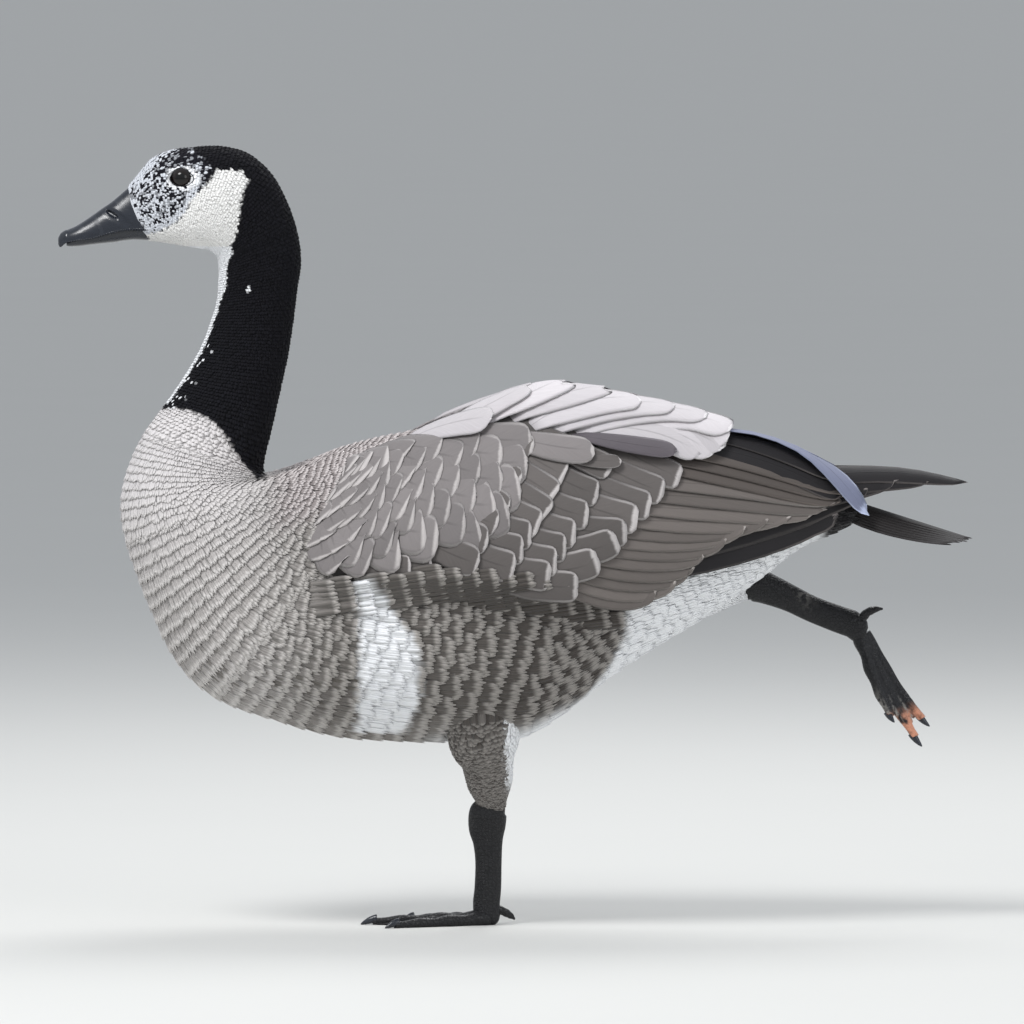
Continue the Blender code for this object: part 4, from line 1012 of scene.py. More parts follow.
def feather_material(name, roughness, edge, strength, ragged, barbs, streak, relief, sheen=0.1):
    """Plumage: each feather's own colours, with its fringe, barbs and shaft."""
    found = bpy.data.materials.get(name)
    if found:
        return found
    made, tree, shader = new_material(name, roughness, {"Sheen Weight": sheen, "Specular IOR Level": 0.2})
    group = add(tree, "ShaderNodeGroup", node_tree=vane_group())
    tree.links.new(add(tree, "ShaderNodeUVMap", uv_map="vane").outputs[0], group.inputs["Place"])
    tree.links.new(attribute(tree, "ground"), group.inputs["Ground"])
    tree.links.new(attribute(tree, "fringe"), group.inputs["Fringe"])
    tree.links.new(attribute(tree, "chance", "Fac"), group.inputs["Chance"])
    tree.links.new(attribute(tree, "reach", "Fac"), group.inputs["Band"])
    values = (("Edge", edge), ("Edge Strength", strength), ("Ragged", ragged), ("Barbs", barbs),
              ("Streak", streak))
    for label, value in values:
        group.inputs[label].default_value = value
    tree.links.new(group.outputs["Color"], shader.inputs["Base Color"])
    bump(tree, shader, group.outputs["Height"], 0.6, relief)
    return made


def skin_material():
    """The skin under the feathers: the markings' colours over soft down."""
    found = bpy.data.materials.get("down")
    if found:
        return found
    made, tree, shader = new_material("down", 0.85, {"Sheen Weight": 0.2})
    place = add(tree, "ShaderNodeTexCoord").outputs["Object"]
    down = noise(tree, place, 900.0)
    tone = calc(tree, "MULTIPLY_ADD", down, 0.5, 0.7)
    toned = add(tree, "ShaderNodeCombineXYZ", {0: tone, 1: tone, 2: tone}).outputs[0]
    mixed = blend(tree, 1.0, attribute(tree, "ground"), toned, "MULTIPLY")
    tree.links.new(mixed, shader.inputs["Base Color"])
    bump(tree, shader, down, 0.5, 0.0006)
    return made


def leg_material():
    """Scaly leg skin: cells with dark seams, and the worn, bare ends of the toes."""
    found = bpy.data.materials.get("scaly_skin")
    if found:
        return found
    finish = {"Specular IOR Level": 0.3, "Coat Weight": 0.05, "Coat Roughness": 0.3}
    made, tree, shader = new_material("scaly_skin", 0.42, finish)
    place = add(tree, "ShaderNodeTexCoord").outputs["Object"]
    inputs = {"Vector": place, "Scale": 420.0, "Randomness": 0.75}
    cells = add(tree, "ShaderNodeTexVoronoi", inputs, feature="DISTANCE_TO_EDGE").outputs[0]
    plate = smooth(tree, cells, 0.0, 0.16)
    grain = noise(tree, place, 1500.0)
    base = (*colour("leg"), 1.0)
    light = (*(colour("leg") * 2.6 + 0.004), 1.0)
    skin = blend(tree, calc(tree, "MULTIPLY", plate, grain), base, light)
    mottle = smooth(tree, noise(tree, place, 160.0), 0.3, 0.6)
    bare = calc(tree, "MULTIPLY", attribute(tree, "bare", "Fac"), mottle)
    skin = blend(tree, bare, skin, (*colour("toe"), 1.0))
    specks = smooth(tree, noise(tree, place, 320.0), 0.4, 0.6)
    worn = calc(tree, "MULTIPLY", attribute(tree, "worn", "Fac"), specks)
    skin = blend(tree, worn, skin, (*colour("web"), 1.0))
    tree.links.new(skin, shader.inputs["Base Color"])
    rough = calc(tree, "MULTIPLY_ADD", plate, -0.14, 0.5)
    tree.links.new(rough, shader.inputs["Roughness"])
    bump(tree, shader, calc(tree, "MULTIPLY_ADD", grain, 0.15, plate), 0.8, 0.00035)
    return made


def bill_material():
    """Smooth horn: slate black with a faint grain along the bill and a few scuffs."""
    found = bpy.data.materials.get("horn")
    if found:
        return found
    made, tree, shader = new_material("horn", 0.3, {"Coat Weight": 0.2, "Coat Roughness": 0.25})
    place = add(tree, "ShaderNodeTexCoord").outputs["Object"]
    turn = {"Vector": place, "Rotation": (0.0, 0.5, 0.0), "Scale": (0.25, 1.0, 1.0)}
    lie = add(tree, "ShaderNodeMapping", turn).outputs[0]
    grain = noise(tree, lie, 900.0, 3.0)
    scuff = smooth(tree, noise(tree, place, 140.0, 4.0), 0.5, 0.75)
    base, light = (*colour("bill"), 1.0), (*(colour("bill") * 2.2), 1.0)
    tone = blend(tree, calc(tree, "MULTIPLY", grain, 0.7), base, light)
    tone = blend(tree, calc(tree, "MULTIPLY", scuff, 0.5), tone, light)
    tree.links.new(tone, shader.inputs["Base Color"])
    tree.links.new(calc(tree, "MULTIPLY_ADD", scuff, 0.2, 0.24), shader.inputs["Roughness"])
    bump(tree, shader, calc(tree, "ADD", grain, scuff), 0.25, 0.0002)
    return made


def eye_material():
    """A dark brown iris with faint rays round a black pupil, by the angle from the eye's axis."""
    finish = {"Specular IOR Level": 0.15, "Coat Weight": 0.55, "Coat Roughness": 0.03}
    made, tree, shader = new_material("iris", 0.2, finish)
    polar = attribute(tree, "polar", "Fac")
    around = attribute(tree, "around", "Fac")
    spokes = calc(tree, "MULTIPLY", around, 9.0)
    vector = add(tree, "ShaderNodeCombineXYZ", {0: spokes, 1: polar}).outputs[0]
    rays = noise(tree, vector, 4.0)
    brown = blend(tree, rays, (*(colour("iris") * 0.6), 1.0), (*(colour("iris") * 1.7), 1.0))
    ring = calc(tree, "MULTIPLY", smooth(tree, polar, 0.40, 0.46), smooth(tree, polar, 0.98, 0.85))
    tree.links.new(blend(tree, ring, (0.002, 0.002, 0.002, 1.0), brown), shader.inputs["Base Color"])
    return made


def plain_material(name, base, roughness):
    """A plain painted surface, with a faint unevenness."""
    made, tree, shader = new_material(name, roughness)
    place = add(tree, "ShaderNodeTexCoord").outputs["Object"]
    cloud = noise(tree, place, 3.0)
    light = tuple(min(1.0, value * 1.02) for value in base)
    mixed = blend(tree, cloud, (*base, 1.0), (*light, 1.0))
    tree.links.new(mixed, shader.inputs["Base Color"])
    return made


def dress(made, material, nodes=()):
    """Gives a piece its material and slot, sets it on the one body, and hides the solids that it
    stands for."""
    made.data.materials.clear()
    made.data.materials.append(material)
    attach(made, "root")
    if nodes:
        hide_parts(*nodes)
    return made


def make_stage():
    """A pale floor, soft lights from above and a camera that looks along +Y. The lens is the sensor's
    width times the camera's distance over the width that is to be seen there. The view is shown
    with the plain standard transform, which holds the coat's blacks and whites."""
    stage = bpy.context.scene.goose_stage
    corners = np.array([(-1, -1, 0), (1, -1, 0), (1, 1, 0), (-1, 1, 0)]) * FLOOR_HALF / MM
    floor = mesh_object("floor", corners, [np.array([[0, 1, 2, 3]])])
    floor.data.materials.append(plain_material("floor_paint", (0.62, 0.62, 0.60), 0.9))
    world = bpy.data.worlds.new("studio")
    world.use_nodes = True
    background = world.node_tree.nodes["Background"]
    background.inputs[0].default_value = SKY_COLOUR
    background.inputs[1].default_value = SKY_STRENGTH
    bpy.context.scene.world = world
    bpy.context.scene.view_settings.view_transform = "Standard"
    for name, place, width, power in LIGHTS:
        lamp = bpy.data.lights.new(name, "AREA")
        lamp.shape = "DISK"
        lamp.size = width
        lamp.energy = power
        made = bpy.data.objects.new(name, lamp)
        made.location = place
        aim = Vector(stage.aim) - made.location
        made.rotation_euler = aim.to_track_quat("-Z", "Y").to_euler()
        bpy.context.scene.collection.objects.link(made)
    lens = bpy.data.cameras.new("camera")
    lens.sensor_width = 36.0
    lens.lens = lens.sensor_width * stage.distance / stage.frame_width
    lens.clip_start, lens.clip_end = 0.1, 600.0
    camera = bpy.data.objects.new("camera", lens)
    back = Vector((0.0, -math.cos(stage.elevation), math.sin(stage.elevation)))
    camera.location = Vector(stage.aim) + back * stage.distance
    camera.rotation_euler = (math.pi / 2 - stage.elevation, 0.0, 0.0)
    bpy.context.scene.collection.objects.link(camera)
    bpy.context.scene.camera = camera


def coat_depth(s):
    """Depth of the skin under the coat's outer surface at a station."""
    full = bpy.context.scene.goose_coat.depth / MM
    return np.interp(s, [0, 8, 16, 22, 36], [0.7, 0.9, 1.2, full, full * 0.8])


def make_skin():
    """One skin over head, neck, torso and thighs. It lies inside them by the coat's depth, and dips
    into a socket round each eye."""
    s = np.linspace(0.0, TORSO_END, 300)
    t = np.linspace(0, 2 * math.pi, 144, endpoint=False)
    s, t = np.meshgrid(s, t, indexing="ij")
    points = BODY.point(s, t)
    reach = np.hypot((points[..., 0] - EYE_AT[0]) / EYE_OPENING[0],
                     (points[..., 2] - EYE_AT[1]) / EYE_OPENING[1])
    socket = 6.0 * ramp(-reach, -1.15, -0.85) * (np.abs(points[..., 1]) > 8)
    points = BODY.at(s, t, -coat_depth(s) - socket)
    pieces = [outward(tube_object("skin", points))]
    for word, surface in THIGHS.items():
        s, t = np.meshgrid(np.linspace(0, THIGH_END, 60),
                           np.linspace(0, 2 * math.pi, 48, endpoint=False), indexing="ij")
        pieces.append(outward(tube_object("thigh_" + word, surface.at(s, t, np.full(s.shape, -1.2)))))
    skin = union("skin", pieces)
    points = np.empty(len(skin.data.vertices) * 3, np.float32)
    skin.data.vertices.foreach_get("co", points)
    points = points.reshape(-1, 3).astype(float) / MM
    ground, fringe = plumage(points, np.full(len(points), 0.5), 0.0)
    set_colour(skin.data, "ground", (ground + fringe) / 2)
    nodes = ("head", "neck_upper", "neck_lower", "torso", "left_thigh", "right_thigh")
    dress(skin, skin_material(), nodes)


def coat_rows(start, end):
    """Stations of the feather rows. Each lies a row's spacing past the last, measured along the
    flank or, where that is longer, as six tenths of the way along the lower side."""
    table = np.array(ROW_TABLE)
    scale = bpy.context.scene.goose_coat.row_scale
    at = np.linspace(start, end, 3000)
    moves = [np.linalg.norm(np.diff(BODY.point(at, np.full(at.shape, turn)), axis=0), axis=1)
             for turn in (1.3, 0.5)]
    pitch = scale * np.interp((at[1:] + at[:-1]) / 2, table[:, 0], table[:, 1])
    travel = np.concatenate([[0.0], np.cumsum(np.maximum(moves[0], moves[1] * 0.6) / pitch)])
    count = int(travel[-1])
    return np.interp(np.arange(count + 1) * travel[-1] / count, travel, at)


def coat_roots(rows, seed):
    """Roots of the feathers on each row: place along and round, rows reached and half width. The
    roots' spacing follows a feather's width, which shrinks where the rows close up. Where they lie
    too close, only every second or fourth row bears feathers, and these reach further."""
    table = np.array(ROW_TABLE)
    chance = np.random.default_rng(seed)
    overlap = bpy.context.scene.goose_coat.overlap
    t = np.linspace(-math.pi, math.pi, 721)
    found = []
    for index, s in enumerate(rows[:-1]):
        here, ahead = BODY.point(np.full(t.shape, s), t), BODY.point(np.full(t.shape, rows[index + 1]), t)
        gap = np.linalg.norm(ahead - here, axis=1)
        pitch, widest = (np.interp(s, table[:, 0], table[:, column]) for column in (1, 2))
        thin = np.where(gap > 0.55 * pitch, 1, np.where(gap > 0.28 * pitch, 2, 4))
        width = np.clip(gap * thin * 1.9, 0.45 * widest, widest)
        arc = np.linalg.norm(np.diff(here, axis=0), axis=1)
        total = np.concatenate([[0.0], np.cumsum(arc / (0.5 * (width[1:] + width[:-1])))])
        count = max(6, int(round(total[-1])))
        at = (np.arange(count) + 0.5 * (index % 2) + chance.uniform(-0.12, 0.12, count)) / count
        turn = np.interp((at % 1.0) * total[-1], total, t)
        step = np.round(np.interp(turn, t, thin)).astype(int)
        keep = index % step == 0
        half = np.interp(turn, t, width) / 2
        rank = np.full(count, float(index))
        found.append(np.stack([rank, turn, overlap * step, half], axis=1)[keep])
    return np.concatenate(found)


def under_wing(points):
    """True where a point of the body is covered by a folded wing, some way in from its edge: between
    the wing's ends, inside its lowest and highest angle, and far enough out from the body's middle
    for the wing to lie over it."""
    x, z = points[..., 0], points[..., 2]
    wing, bed = np.array(WING), np.array(WING_BED)
    top, level = (np.interp(x, wing[:, 0], wing[:, column]) for column in (1, 2))
    rise = np.where(z > level, top - level, WING_DROP)
    angle = np.degrees(np.arcsin(np.clip((z - level) / rise, -1, 1)))
    low, high = (np.interp(x, bed[:, 0], bed[:, column]) for column in (1, 2))
    inside = (x > -62) & (x < 190) & (angle > low + 8) & (angle < high - 6)
    return inside & (np.abs(points[..., 1]) > 34)


def barb_paths(rank, reach, half, count, steps, seed):
    """Splits each feather into narrow tufts side by side, so that its tip is ragged. A tuft at a
    share of the half width stands aside by that share, less near the root. It ends sooner by a small
    part of the share's square, for a rounded tip, and its length varies a little by chance. Returns
    the feather's number, the tuft's rows, its places aside and its half width."""
    chance = np.random.default_rng(seed)
    share = np.linspace(-1, 1, count) if count > 1 else np.zeros(1)
    owner = np.repeat(np.arange(len(rank)), count)
    share = np.tile(share, len(rank)) + chance.uniform(-0.5, 0.5, len(owner)) / count
    length = reach[owner] * (1 - 0.045 * share ** 2) * chance.uniform(0.945, 1.055, len(owner))
    rows = rank[owner][:, None] + length[:, None] * steps
    aside = (share * half[owner])[:, None] * (0.55 + 0.45 * np.minimum(1, steps * 1.6))
    return owner, rows, aside, half[owner] / count * 2.5


def body_feathers(name, start, end, count, cover, material, pick=None):
    """A coat piece on the body's own surface, from rows of feathers between two stations."""
    coat = bpy.context.scene.goose_coat
    rows = coat_rows(start, end)
    rank, turn, reach, half = coat_roots(rows, coat.seed).T
    steps, shape = (np.array(value) for value in
                    ((TUFT_STEPS, TUFT_SHAPE) if count == 1 else (BARB_STEPS, BARB_SHAPE)))
    tip = np.interp(rank + reach, np.arange(len(rows)), rows)
    centre = BODY.point(tip, turn)
    keep = ~under_wing(centre)
    if pick:
        keep &= pick(centre)
    rank, turn, reach, half = rank[keep], turn[keep], reach[keep], half[keep]
    chance = np.random.default_rng(coat.seed + 1).random(len(rank))
    reach = reach * (0.985 + 0.03 * chance)
    owner, ranks, aside, width = barb_paths(rank, reach, half * cover, count, steps, coat.seed + 2)
    after = np.arange(len(rows) + 6)
    stations = np.concatenate([rows, rows[-1] + (rows[-1] - rows[-2]) * np.arange(1, 7)])
    along = np.minimum(np.interp(ranks, after, stations), end + 1.0)
    turns = turn[owner][:, None] + 0 * along
    move_s, move_t = BODY.aside(along, turns)
    paths = np.stack([along + move_s * aside, turns + move_t * aside], axis=-1)
    tips = BODY.point(paths[:, -1, 0], paths[:, -1, 1])
    reach = np.hypot((tips[:, 0] - EYE_AT[0]) / EYE_OPENING[0], (tips[:, 2] - EYE_AT[1]) / EYE_OPENING[1])
    keep = (reach > 1.2) | (np.abs(tips[:, 1]) < 8)
    paths, width, owner, tips, aside = paths[keep], width[keep], owner[keep], tips[keep], aside[keep]
    each = np.random.default_rng(coat.seed + 3).random(len(owner))
    depth = coat_depth(paths[:, 0, 0])
    share = aside[:, -1] / np.maximum(half[owner] * cover, 0.1)
    dome = 0.06 * half[owner] * (1 - share ** 2)
    rise = 0.12 + dome + coat.ruffle / MM * (0.6 * chance[owner] + 0.4 * each - 0.5) * 2
    centres = BODY.point(paths[..., 0], paths[..., 1])
    long = np.linalg.norm(centres[:, -1] - centres[:, 0], axis=-1)
    sink = -np.minimum(depth + 0.4, 0.32 * long)
    lift = sink[:, None] + (rise - sink)[:, None] * steps ** 0.7
    widths = width[:, None] * shape
    camber = np.minimum(0.10 * width, 0.25)[:, None, None]
    points = lay_vanes(BODY, paths, widths, lift, camber, 0.0, 3, 0.0, coat.seed + 4)
    roots = np.stack([(paths[:, 0, 1] / (2 * math.pi)) % 1.0, paths[:, 0, 0] / TORSO_END], axis=1)
    mixed = chance[owner] * 0.8 + each * 0.2
    spots = np.repeat(mixed if count > 1 else each, len(steps))
    ground, fringe = plumage(centres.reshape(-1, 3), spots, 1.0)
    band = 0.23 + 0.05 * (chance[owner] * 13.0 % 1.0)
    made = coat_object(name, points, 0.02 + 0.96 * roots, (ground, fringe), mixed, band)
    dress(made, material)
    return made


def contour_material():
    """The material of the body's feathers."""
    return feather_material("contour_feathers", 0.8, 0.4, 0.0, 0.12, 9.0, 0.2, 0.0002)


def side_coats(parts, cover, material):
    """Two coat pieces for each part, one with the feathers whose tips lie on each side."""
    for word, start, end, count in parts:
        for side, sign in (("left", -1), ("right", 1)):
            pick = (lambda tips, sign=sign: tips[:, 1] * sign >= 0)
            body_feathers(f"{word}_feathers_{side}", start, end, count, cover, material, pick)


def make_body_coat():
    """Rows of contour feathers over breast, flanks, back, belly and vent."""
    parts = (("breast", 16.4, 20.2, 6), ("chest", 20.0, 23.6, 9), ("flank", 23.4, TORSO_END, 12))
    side_coats(parts, 1.15, contour_material())
    make_flank_fringe()


def make_flank_fringe():
    """Ragged tufts of the flanks that lie over the lower edge of each folded wing. They stand in
    bands that lean back as they go down, like the rows of the flank below them, and the bands are
    shorter towards the rear. A tuft runs back and a little up to its tip: at a share of its length
    before the tip it lies lower by that share to the power of 1.5. It is laid on the wing and on the
    body, and its points are the mean of the two, weighted by how far its tip's angle lies below the
    wing's lowest one."""
    coat = bpy.context.scene.goose_coat
    steps, shape = np.array(BARB_STEPS), np.array(BARB_SHAPE)
    border = np.array(FRINGE_TOP)
    for side, word in ((-1, "left"), (1, "right")):
        random = np.random.default_rng(coat.seed + 40 + side)
        grids = np.meshgrid(np.arange(FRINGE_BANDS), np.arange(FRINGE_TUFTS))
        band, place = (grid.ravel() for grid in grids)
        chance, each = random.random((2, len(band)))
        column = border[0, 0] + (border[-1, 0] - border[0, 0]) * band / (FRINGE_BANDS - 1)
        top = np.interp(column, border[:, 0], border[:, 1]) + FRINGE_WAVE * np.sin(band * 2.4)
        tip_z = top - FRINGE_STEP * (place + each)
        tip_x = column + FRINGE_LEAN * (top - tip_z) + 1.6 * (chance - 0.5)
        keep = place < FRINGE_TUFTS * (1 - FRINGE_SHORTER * ramp(column, *FRINGE_REAR))
        tip_x, tip_z, chance, each = (value[keep] for value in (tip_x, tip_z, chance, each))
        x = tip_x[:, None] - FRINGE_LENGTH * (1 - steps)
        z = tip_z[:, None] - FRINGE_DROP * (1 - steps) ** 1.5
        paths = np.stack([x, wing_angle(x, z)], axis=-1)
        lift = -0.8 + (3.0 + 0.5 * each[:, None]) * steps ** 0.8
        widths = (1.7 + 0.5 * each[:, None]) * shape
        tuft = (widths, lift, 0.15, 0.0, 3, 0.0, coat.seed + 6)
        points = lay_vanes(WINGS[side], paths, *tuft)
        s, t = body_place(x, z, FLANK_START, TORSO_END)
        t = np.where(BODY.point(s, t)[..., 1] * side > 0, t, -t)
        below = lay_vanes(BODY, np.stack([s, t], axis=-1), *tuft)
        edge = np.interp(tip_x, np.array(WING_BED)[:, 0], np.array(WING_BED)[:, 1])
        weight = ramp(edge - paths[:, -1, 1], *FRINGE_BLEND)[:, None, None, None]
        points = points * (1 - weight) + below * weight
        roots = wing_map(paths[:, 0])
        centres = WINGS[side].point(paths[..., 0], paths[..., 1])
        spots = np.repeat(chance, len(steps))
        colours = plumage(centres.reshape(-1, 3), spots, 1.0)
        made = coat_object("fringe_feathers_" + word, points, roots, colours, chance, 0.22 + 0.08 * chance)
        dress(made, contour_material())


def make_head_coat():
    """Short, fine feathers over head and neck."""
    material = feather_material("velvet_feathers", 0.85, 0.3, 0.0, 0.1, 5.0, 0.3, 0.0001, 0.0)
    side_coats((("head", 0.05, 8.6, 1), ("neck", 8.4, 16.8, 1)), 1.0, material)


def make_thigh_coat():
    """Small mottled feathers over the thighs, pointing down the leg, white along the rear edge."""
    coat = bpy.context.scene.goose_coat
    steps, shape = np.array(BARB_STEPS), np.array(BARB_SHAPE)
    for word, surface in THIGHS.items():
        rows, around = (44, 46) if word == "left" else (50, 46)
        grids = np.meshgrid(np.arange(rows), np.arange(around), indexing="ij")
        rank, place = (grid.ravel() for grid in grids)
        random = np.random.default_rng(coat.seed + rows)
        chance, each = random.random((2, len(rank)))
        start = 0.1 + (THIGH_END - 0.1) * rank / rows
        turn = (place + 0.5 * (rank % 2) + 0.5 * each) / around * 2 * math.pi
        along = start[:, None] + 0.34 * steps * (0.8 + 0.4 * chance[:, None])
        along = np.minimum(along, THIGH_END + 0.12 + 0.16 * chance[:, None])
        paths = np.stack([along, turn[:, None] + 0 * along], axis=-1)
        girth = np.linalg.norm(surface.slopes(start, turn)[1], axis=-1)
        widths = (girth * 2 * math.pi / around * 0.85)[:, None] * shape
        lift = -1.3 + (0.3 + 0.3 * each[:, None] + 1.3) * steps ** 0.8
        points = lay_vanes(surface, paths, widths, lift, 0.12, 0.0, 3, 0.0, coat.seed + 5)
        roots = 0.02 + 0.96 * np.stack([(turn / (2 * math.pi)) % 1, start / THIGH_END], axis=1)
        tips = surface.point(paths[:, -1, 0], paths[:, -1, 1])
        rear = tips[:, 0] - surface.point(paths[:, -1, 0], turn * 0 + math.pi / 2)[:, 0]
        mottle = mix(colour("flank_rear"), colour("flank"), (each * 31.0) % 1.0)
        if word == "left":
            white = ramp(rear + 3 * (chance - 0.5) - 0.12 * (tips[:, 2] - 92), 10.0, 12.5)
            white = white * ramp(tips[:, 2], 88, 100)
        else:
            white = ramp(tips[:, 0] + 16 * (chance - 0.5), 120, 136)
        ground = mix(mottle, colour("white"), white)
        fringe = mix(mix(mottle, colour("flank_fringe"), 0.5), colour("white"), white)
        made = coat_object("thigh_feathers_" + word, points, roots, (ground, fringe), chance,
                           0.15 + 0.1 * chance)
        dress(made, contour_material())


def wing_map(roots):
    """Place of a wing feather's root on the tuft map: its share of the map's span, inside a margin."""
    return 0.02 + 0.96 * (roots - np.array(WING_MAP_START)) / np.array(WING_MAP_SPAN)


def wing_angle(x, z):
    """The angle on the folded wing of a point seen from the side: the arc sine of its height over
    the widest line, as a share of the rise to the top, or of the longer drop below."""
    table = np.array(WING)
    top, level, _ = np.moveaxis(read(table[:, 1:], np.interp(x, table[:, 0], np.arange(len(table)))), -1, 0)
    rise = np.where(z > level, top - level, WING_DROP)
    return np.degrees(np.arcsin(np.clip((z - level) / rise, -0.6, 0.999)))


def tier_paths(rows, count, steps):
    """Paths of a tier's feathers on the wing. The table's feathers are spread over the tier on a
    smooth curve, and each path is the parabola through its root, middle and tip."""
    three = read(rows, np.linspace(0, len(rows) - 1, count)).reshape(count, 1, 3, 2)
    share = np.array(steps)[None, :, None]
    weights = ((1 - share) * (1 - 2 * share), 4 * share * (1 - share), share * (2 * share - 1))
    x, z = np.moveaxis(sum(weight * three[:, :, i] for i, weight in enumerate(weights)), -1, 0)
    return np.stack([x, wing_angle(x, z)], axis=-1)


def shoulder_paths(steps):
    """Paths of the shoulder feathers on the wing. Their tips stand in columns, which are parabolas
    through three points, and each feather reaches over some columns back and down. Also returns
    each feather's half width, which grows towards the rear, and its place down the column."""
    columns, found = 19, []
    for column in range(columns):
        back = (column / (columns - 1)) ** 1.15
        count = 5 if column < 11 else 4
        for index in range(count):
            share = (index + 0.5 + (0.2 if column % 2 else -0.2)) / count
            at = np.maximum(back * (len(SHOULDER_COLUMNS) - 1) - 2.0 * (1 - steps), -0.9)
            three = read(SHOULDER_COLUMNS, at).reshape(-1, 3, 2)
            down = (share - 0.24 * (1 - steps) ** 1.2)[:, None]
            point = (three[:, 0] * (1 - down) * (1 - 2 * down) + three[:, 1] * 4 * down * (1 - down)
                     + three[:, 2] * down * (2 * down - 1))
            found.append((point, 11.0 + 7.0 * back, share))
    points, half, share = (np.array(value) for value in zip(*found))
    return np.stack([points[..., 0], wing_angle(points[..., 0], points[..., 1])], axis=-1), half, share


def wing_colours(kind, chance):
    """Ground and fringe of a kind of wing feather, each a little lighter or darker by chance."""
    tone = (0.86 + 0.28 * chance)[:, None]
    return colour(kind) * tone, colour(kind + "_fringe") * (0.9 + 0.2 * chance[:, None])


def tier_object(name, side, paths, half, heights, order, roll, kind, band, outline, number):
    """One tier of wing feathers. The vane's root lies at the first height and its tip at the
    second, and the order adds to the tip's."""
    steps, shape = np.array(LONG_STEPS), np.array(LONG_SHAPES[outline])
    seed = bpy.context.scene.goose_coat.seed + number * 2 + side
    random = np.random.default_rng(seed)
    chance = random.random(len(paths))
    paths = paths + random.uniform(-1, 1, (len(paths), 1, 2)) * np.array([0.9, 0.4]) * steps[:, None]
    lift = heights[0] + (heights[1] - heights[0] + order[:, None]) * steps ** 0.55
    half = np.broadcast_to(half, chance.shape) * (0.96 + 0.08 * chance)
    widths = half[:, None] * shape
    camber = (0.035 * half)[:, None, None]
    points = lay_vanes(WINGS[side], paths, widths, lift, camber, roll * side, 9, 0.012, seed)
    length = np.linalg.norm(np.diff(points[:, :, 4], axis=1), axis=-1).sum(axis=1)
    roots = wing_map(paths[:, 0])
    reach = 1.35 * band / length * (0.85 + 0.3 * chance)
    return coat_object(name, points, roots, wing_colours(kind, chance), chance, reach)


def vane_material():
    """The material of the wings' and the tail's feathers."""
    return feather_material("vanes", 0.65, 0.2, 0.75, 0.03, 110.0, 0.3, 0.0002, 0.05)


def make_wings():
    """Both folded wings: the bed, and the tiers of feathers from the primaries up."""
    bed = np.array(WING_BED)
    x = np.linspace(bed[0, 0], bed[-1, 0], 90)
    low, high, thick = (np.interp(x, bed[:, 0], bed[:, column])[:, None] for column in (1, 2, 3))
    for side, word in ((-1, "left"), (1, "right")):
        angle = low + (high - low) * np.linspace(0, 1, 40)
        at = np.broadcast_to(x[:, None], angle.shape)
        outer = WINGS[side].at(at, angle, np.full(angle.shape, -3.2))
        inner = WINGS[side].at(at, angle, np.broadcast_to(-thick, angle.shape))
        plate = outward(plate_object("wing_bed_" + word, outer, inner))
        set_colour(plate.data, "ground", np.tile(colour("covert") * 0.6, (len(plate.data.vertices), 1)))
        dress(plate, skin_material(), ("wing_" + word,))
        for number, (tier, values) in enumerate(TIERS.items()):
            count, half, root, tip, roll, kind, band, outline, rows = values
            paths = tier_paths(rows, count, LONG_STEPS)
            order = np.linspace(-0.4, 0.4, count) * (1 if roll > 0 else -1)
            made = tier_object(f"{tier}_feathers_{word}", side, paths, half, (root, tip), order, roll, kind,
                               band, outline, number)
            dress(made, vane_material())
        paths, half, share = shoulder_paths(np.array(LONG_STEPS))
        made = tier_object("shoulder_feathers_" + word, side, paths, half, (-3.5, 1.9),
                           0.7 * share - 0.35, -0.2, "shoulder", 2.2, "broad", 20)
        dress(made, vane_material())


def tail_point(u, v):
    """The tail's roof: u along its slope from the root, v across. It falls with the square of v, less
    towards the tip, and a crown near the root rises by a bell curve of v."""
    u, v = np.broadcast_arrays(u, v)
    slope = math.radians(TAIL_SLOPE)
    left = np.clip(1 - u / TAIL_LENGTH, 0, 1)
    fall = TAIL_ROOF * v ** 2 * (0.1 + left) - TAIL_CROWN * left * np.exp(-(v / 22) ** 2)
    x = TAIL_ROOT[0] + u * math.cos(slope) + fall * math.sin(slope)
    z = TAIL_ROOT[1] + u * math.sin(slope) - fall * math.cos(slope)
    return np.stack([x, v, z], axis=-1)


def make_tail():
    """The tail's fan, with the middle pair on top and the outermost lowest. Each feather starts a
    little before the root, so that the rump covers its quill, and the outer ones are shorter by the
    square of their rank."""
    steps, shape = np.array(LONG_STEPS), np.array(LONG_SHAPES["long"])
    surface = Surface(tail_point, (1.0, 1.0), 1)
    place = np.arange(TAIL_FEATHERS) - (TAIL_FEATHERS - 1) / 2
    chance = np.random.default_rng(31).random(TAIL_FEATHERS)
    rank = np.abs(place) / place[-1]
    turn = np.radians(place * TAIL_FAN)[:, None]
    length = (TAIL_LENGTH * (1 - 0.12 * rank ** 2) * (0.98 + 0.03 * chance))[:, None]
    length = length * (1.14 * steps - 0.14)
    paths = np.stack([length * np.cos(turn), place[:, None] * 1.6 + length * np.sin(turn)], axis=-1)
    lift = (2.4 - 0.5 * np.abs(place) + 0.25 * (place > 0))[:, None] + 1.0 * steps - 0.6
    widths = np.broadcast_to(TAIL_HALF_WIDTH * shape, lift.shape)
    points = lay_vanes(surface, paths, widths, lift, 0.7, 0.0, 9, 0.02, 31)
    roots = np.stack([0.5 + place / 20, np.full(place.shape, 0.5)], axis=1)
    ground, fringe = wing_colours("tail", chance)
    made = coat_object("tail_feathers", points, roots, (ground, fringe), chance, np.full(len(place), 0.06))
    dress(made, vane_material(), ("tail",))


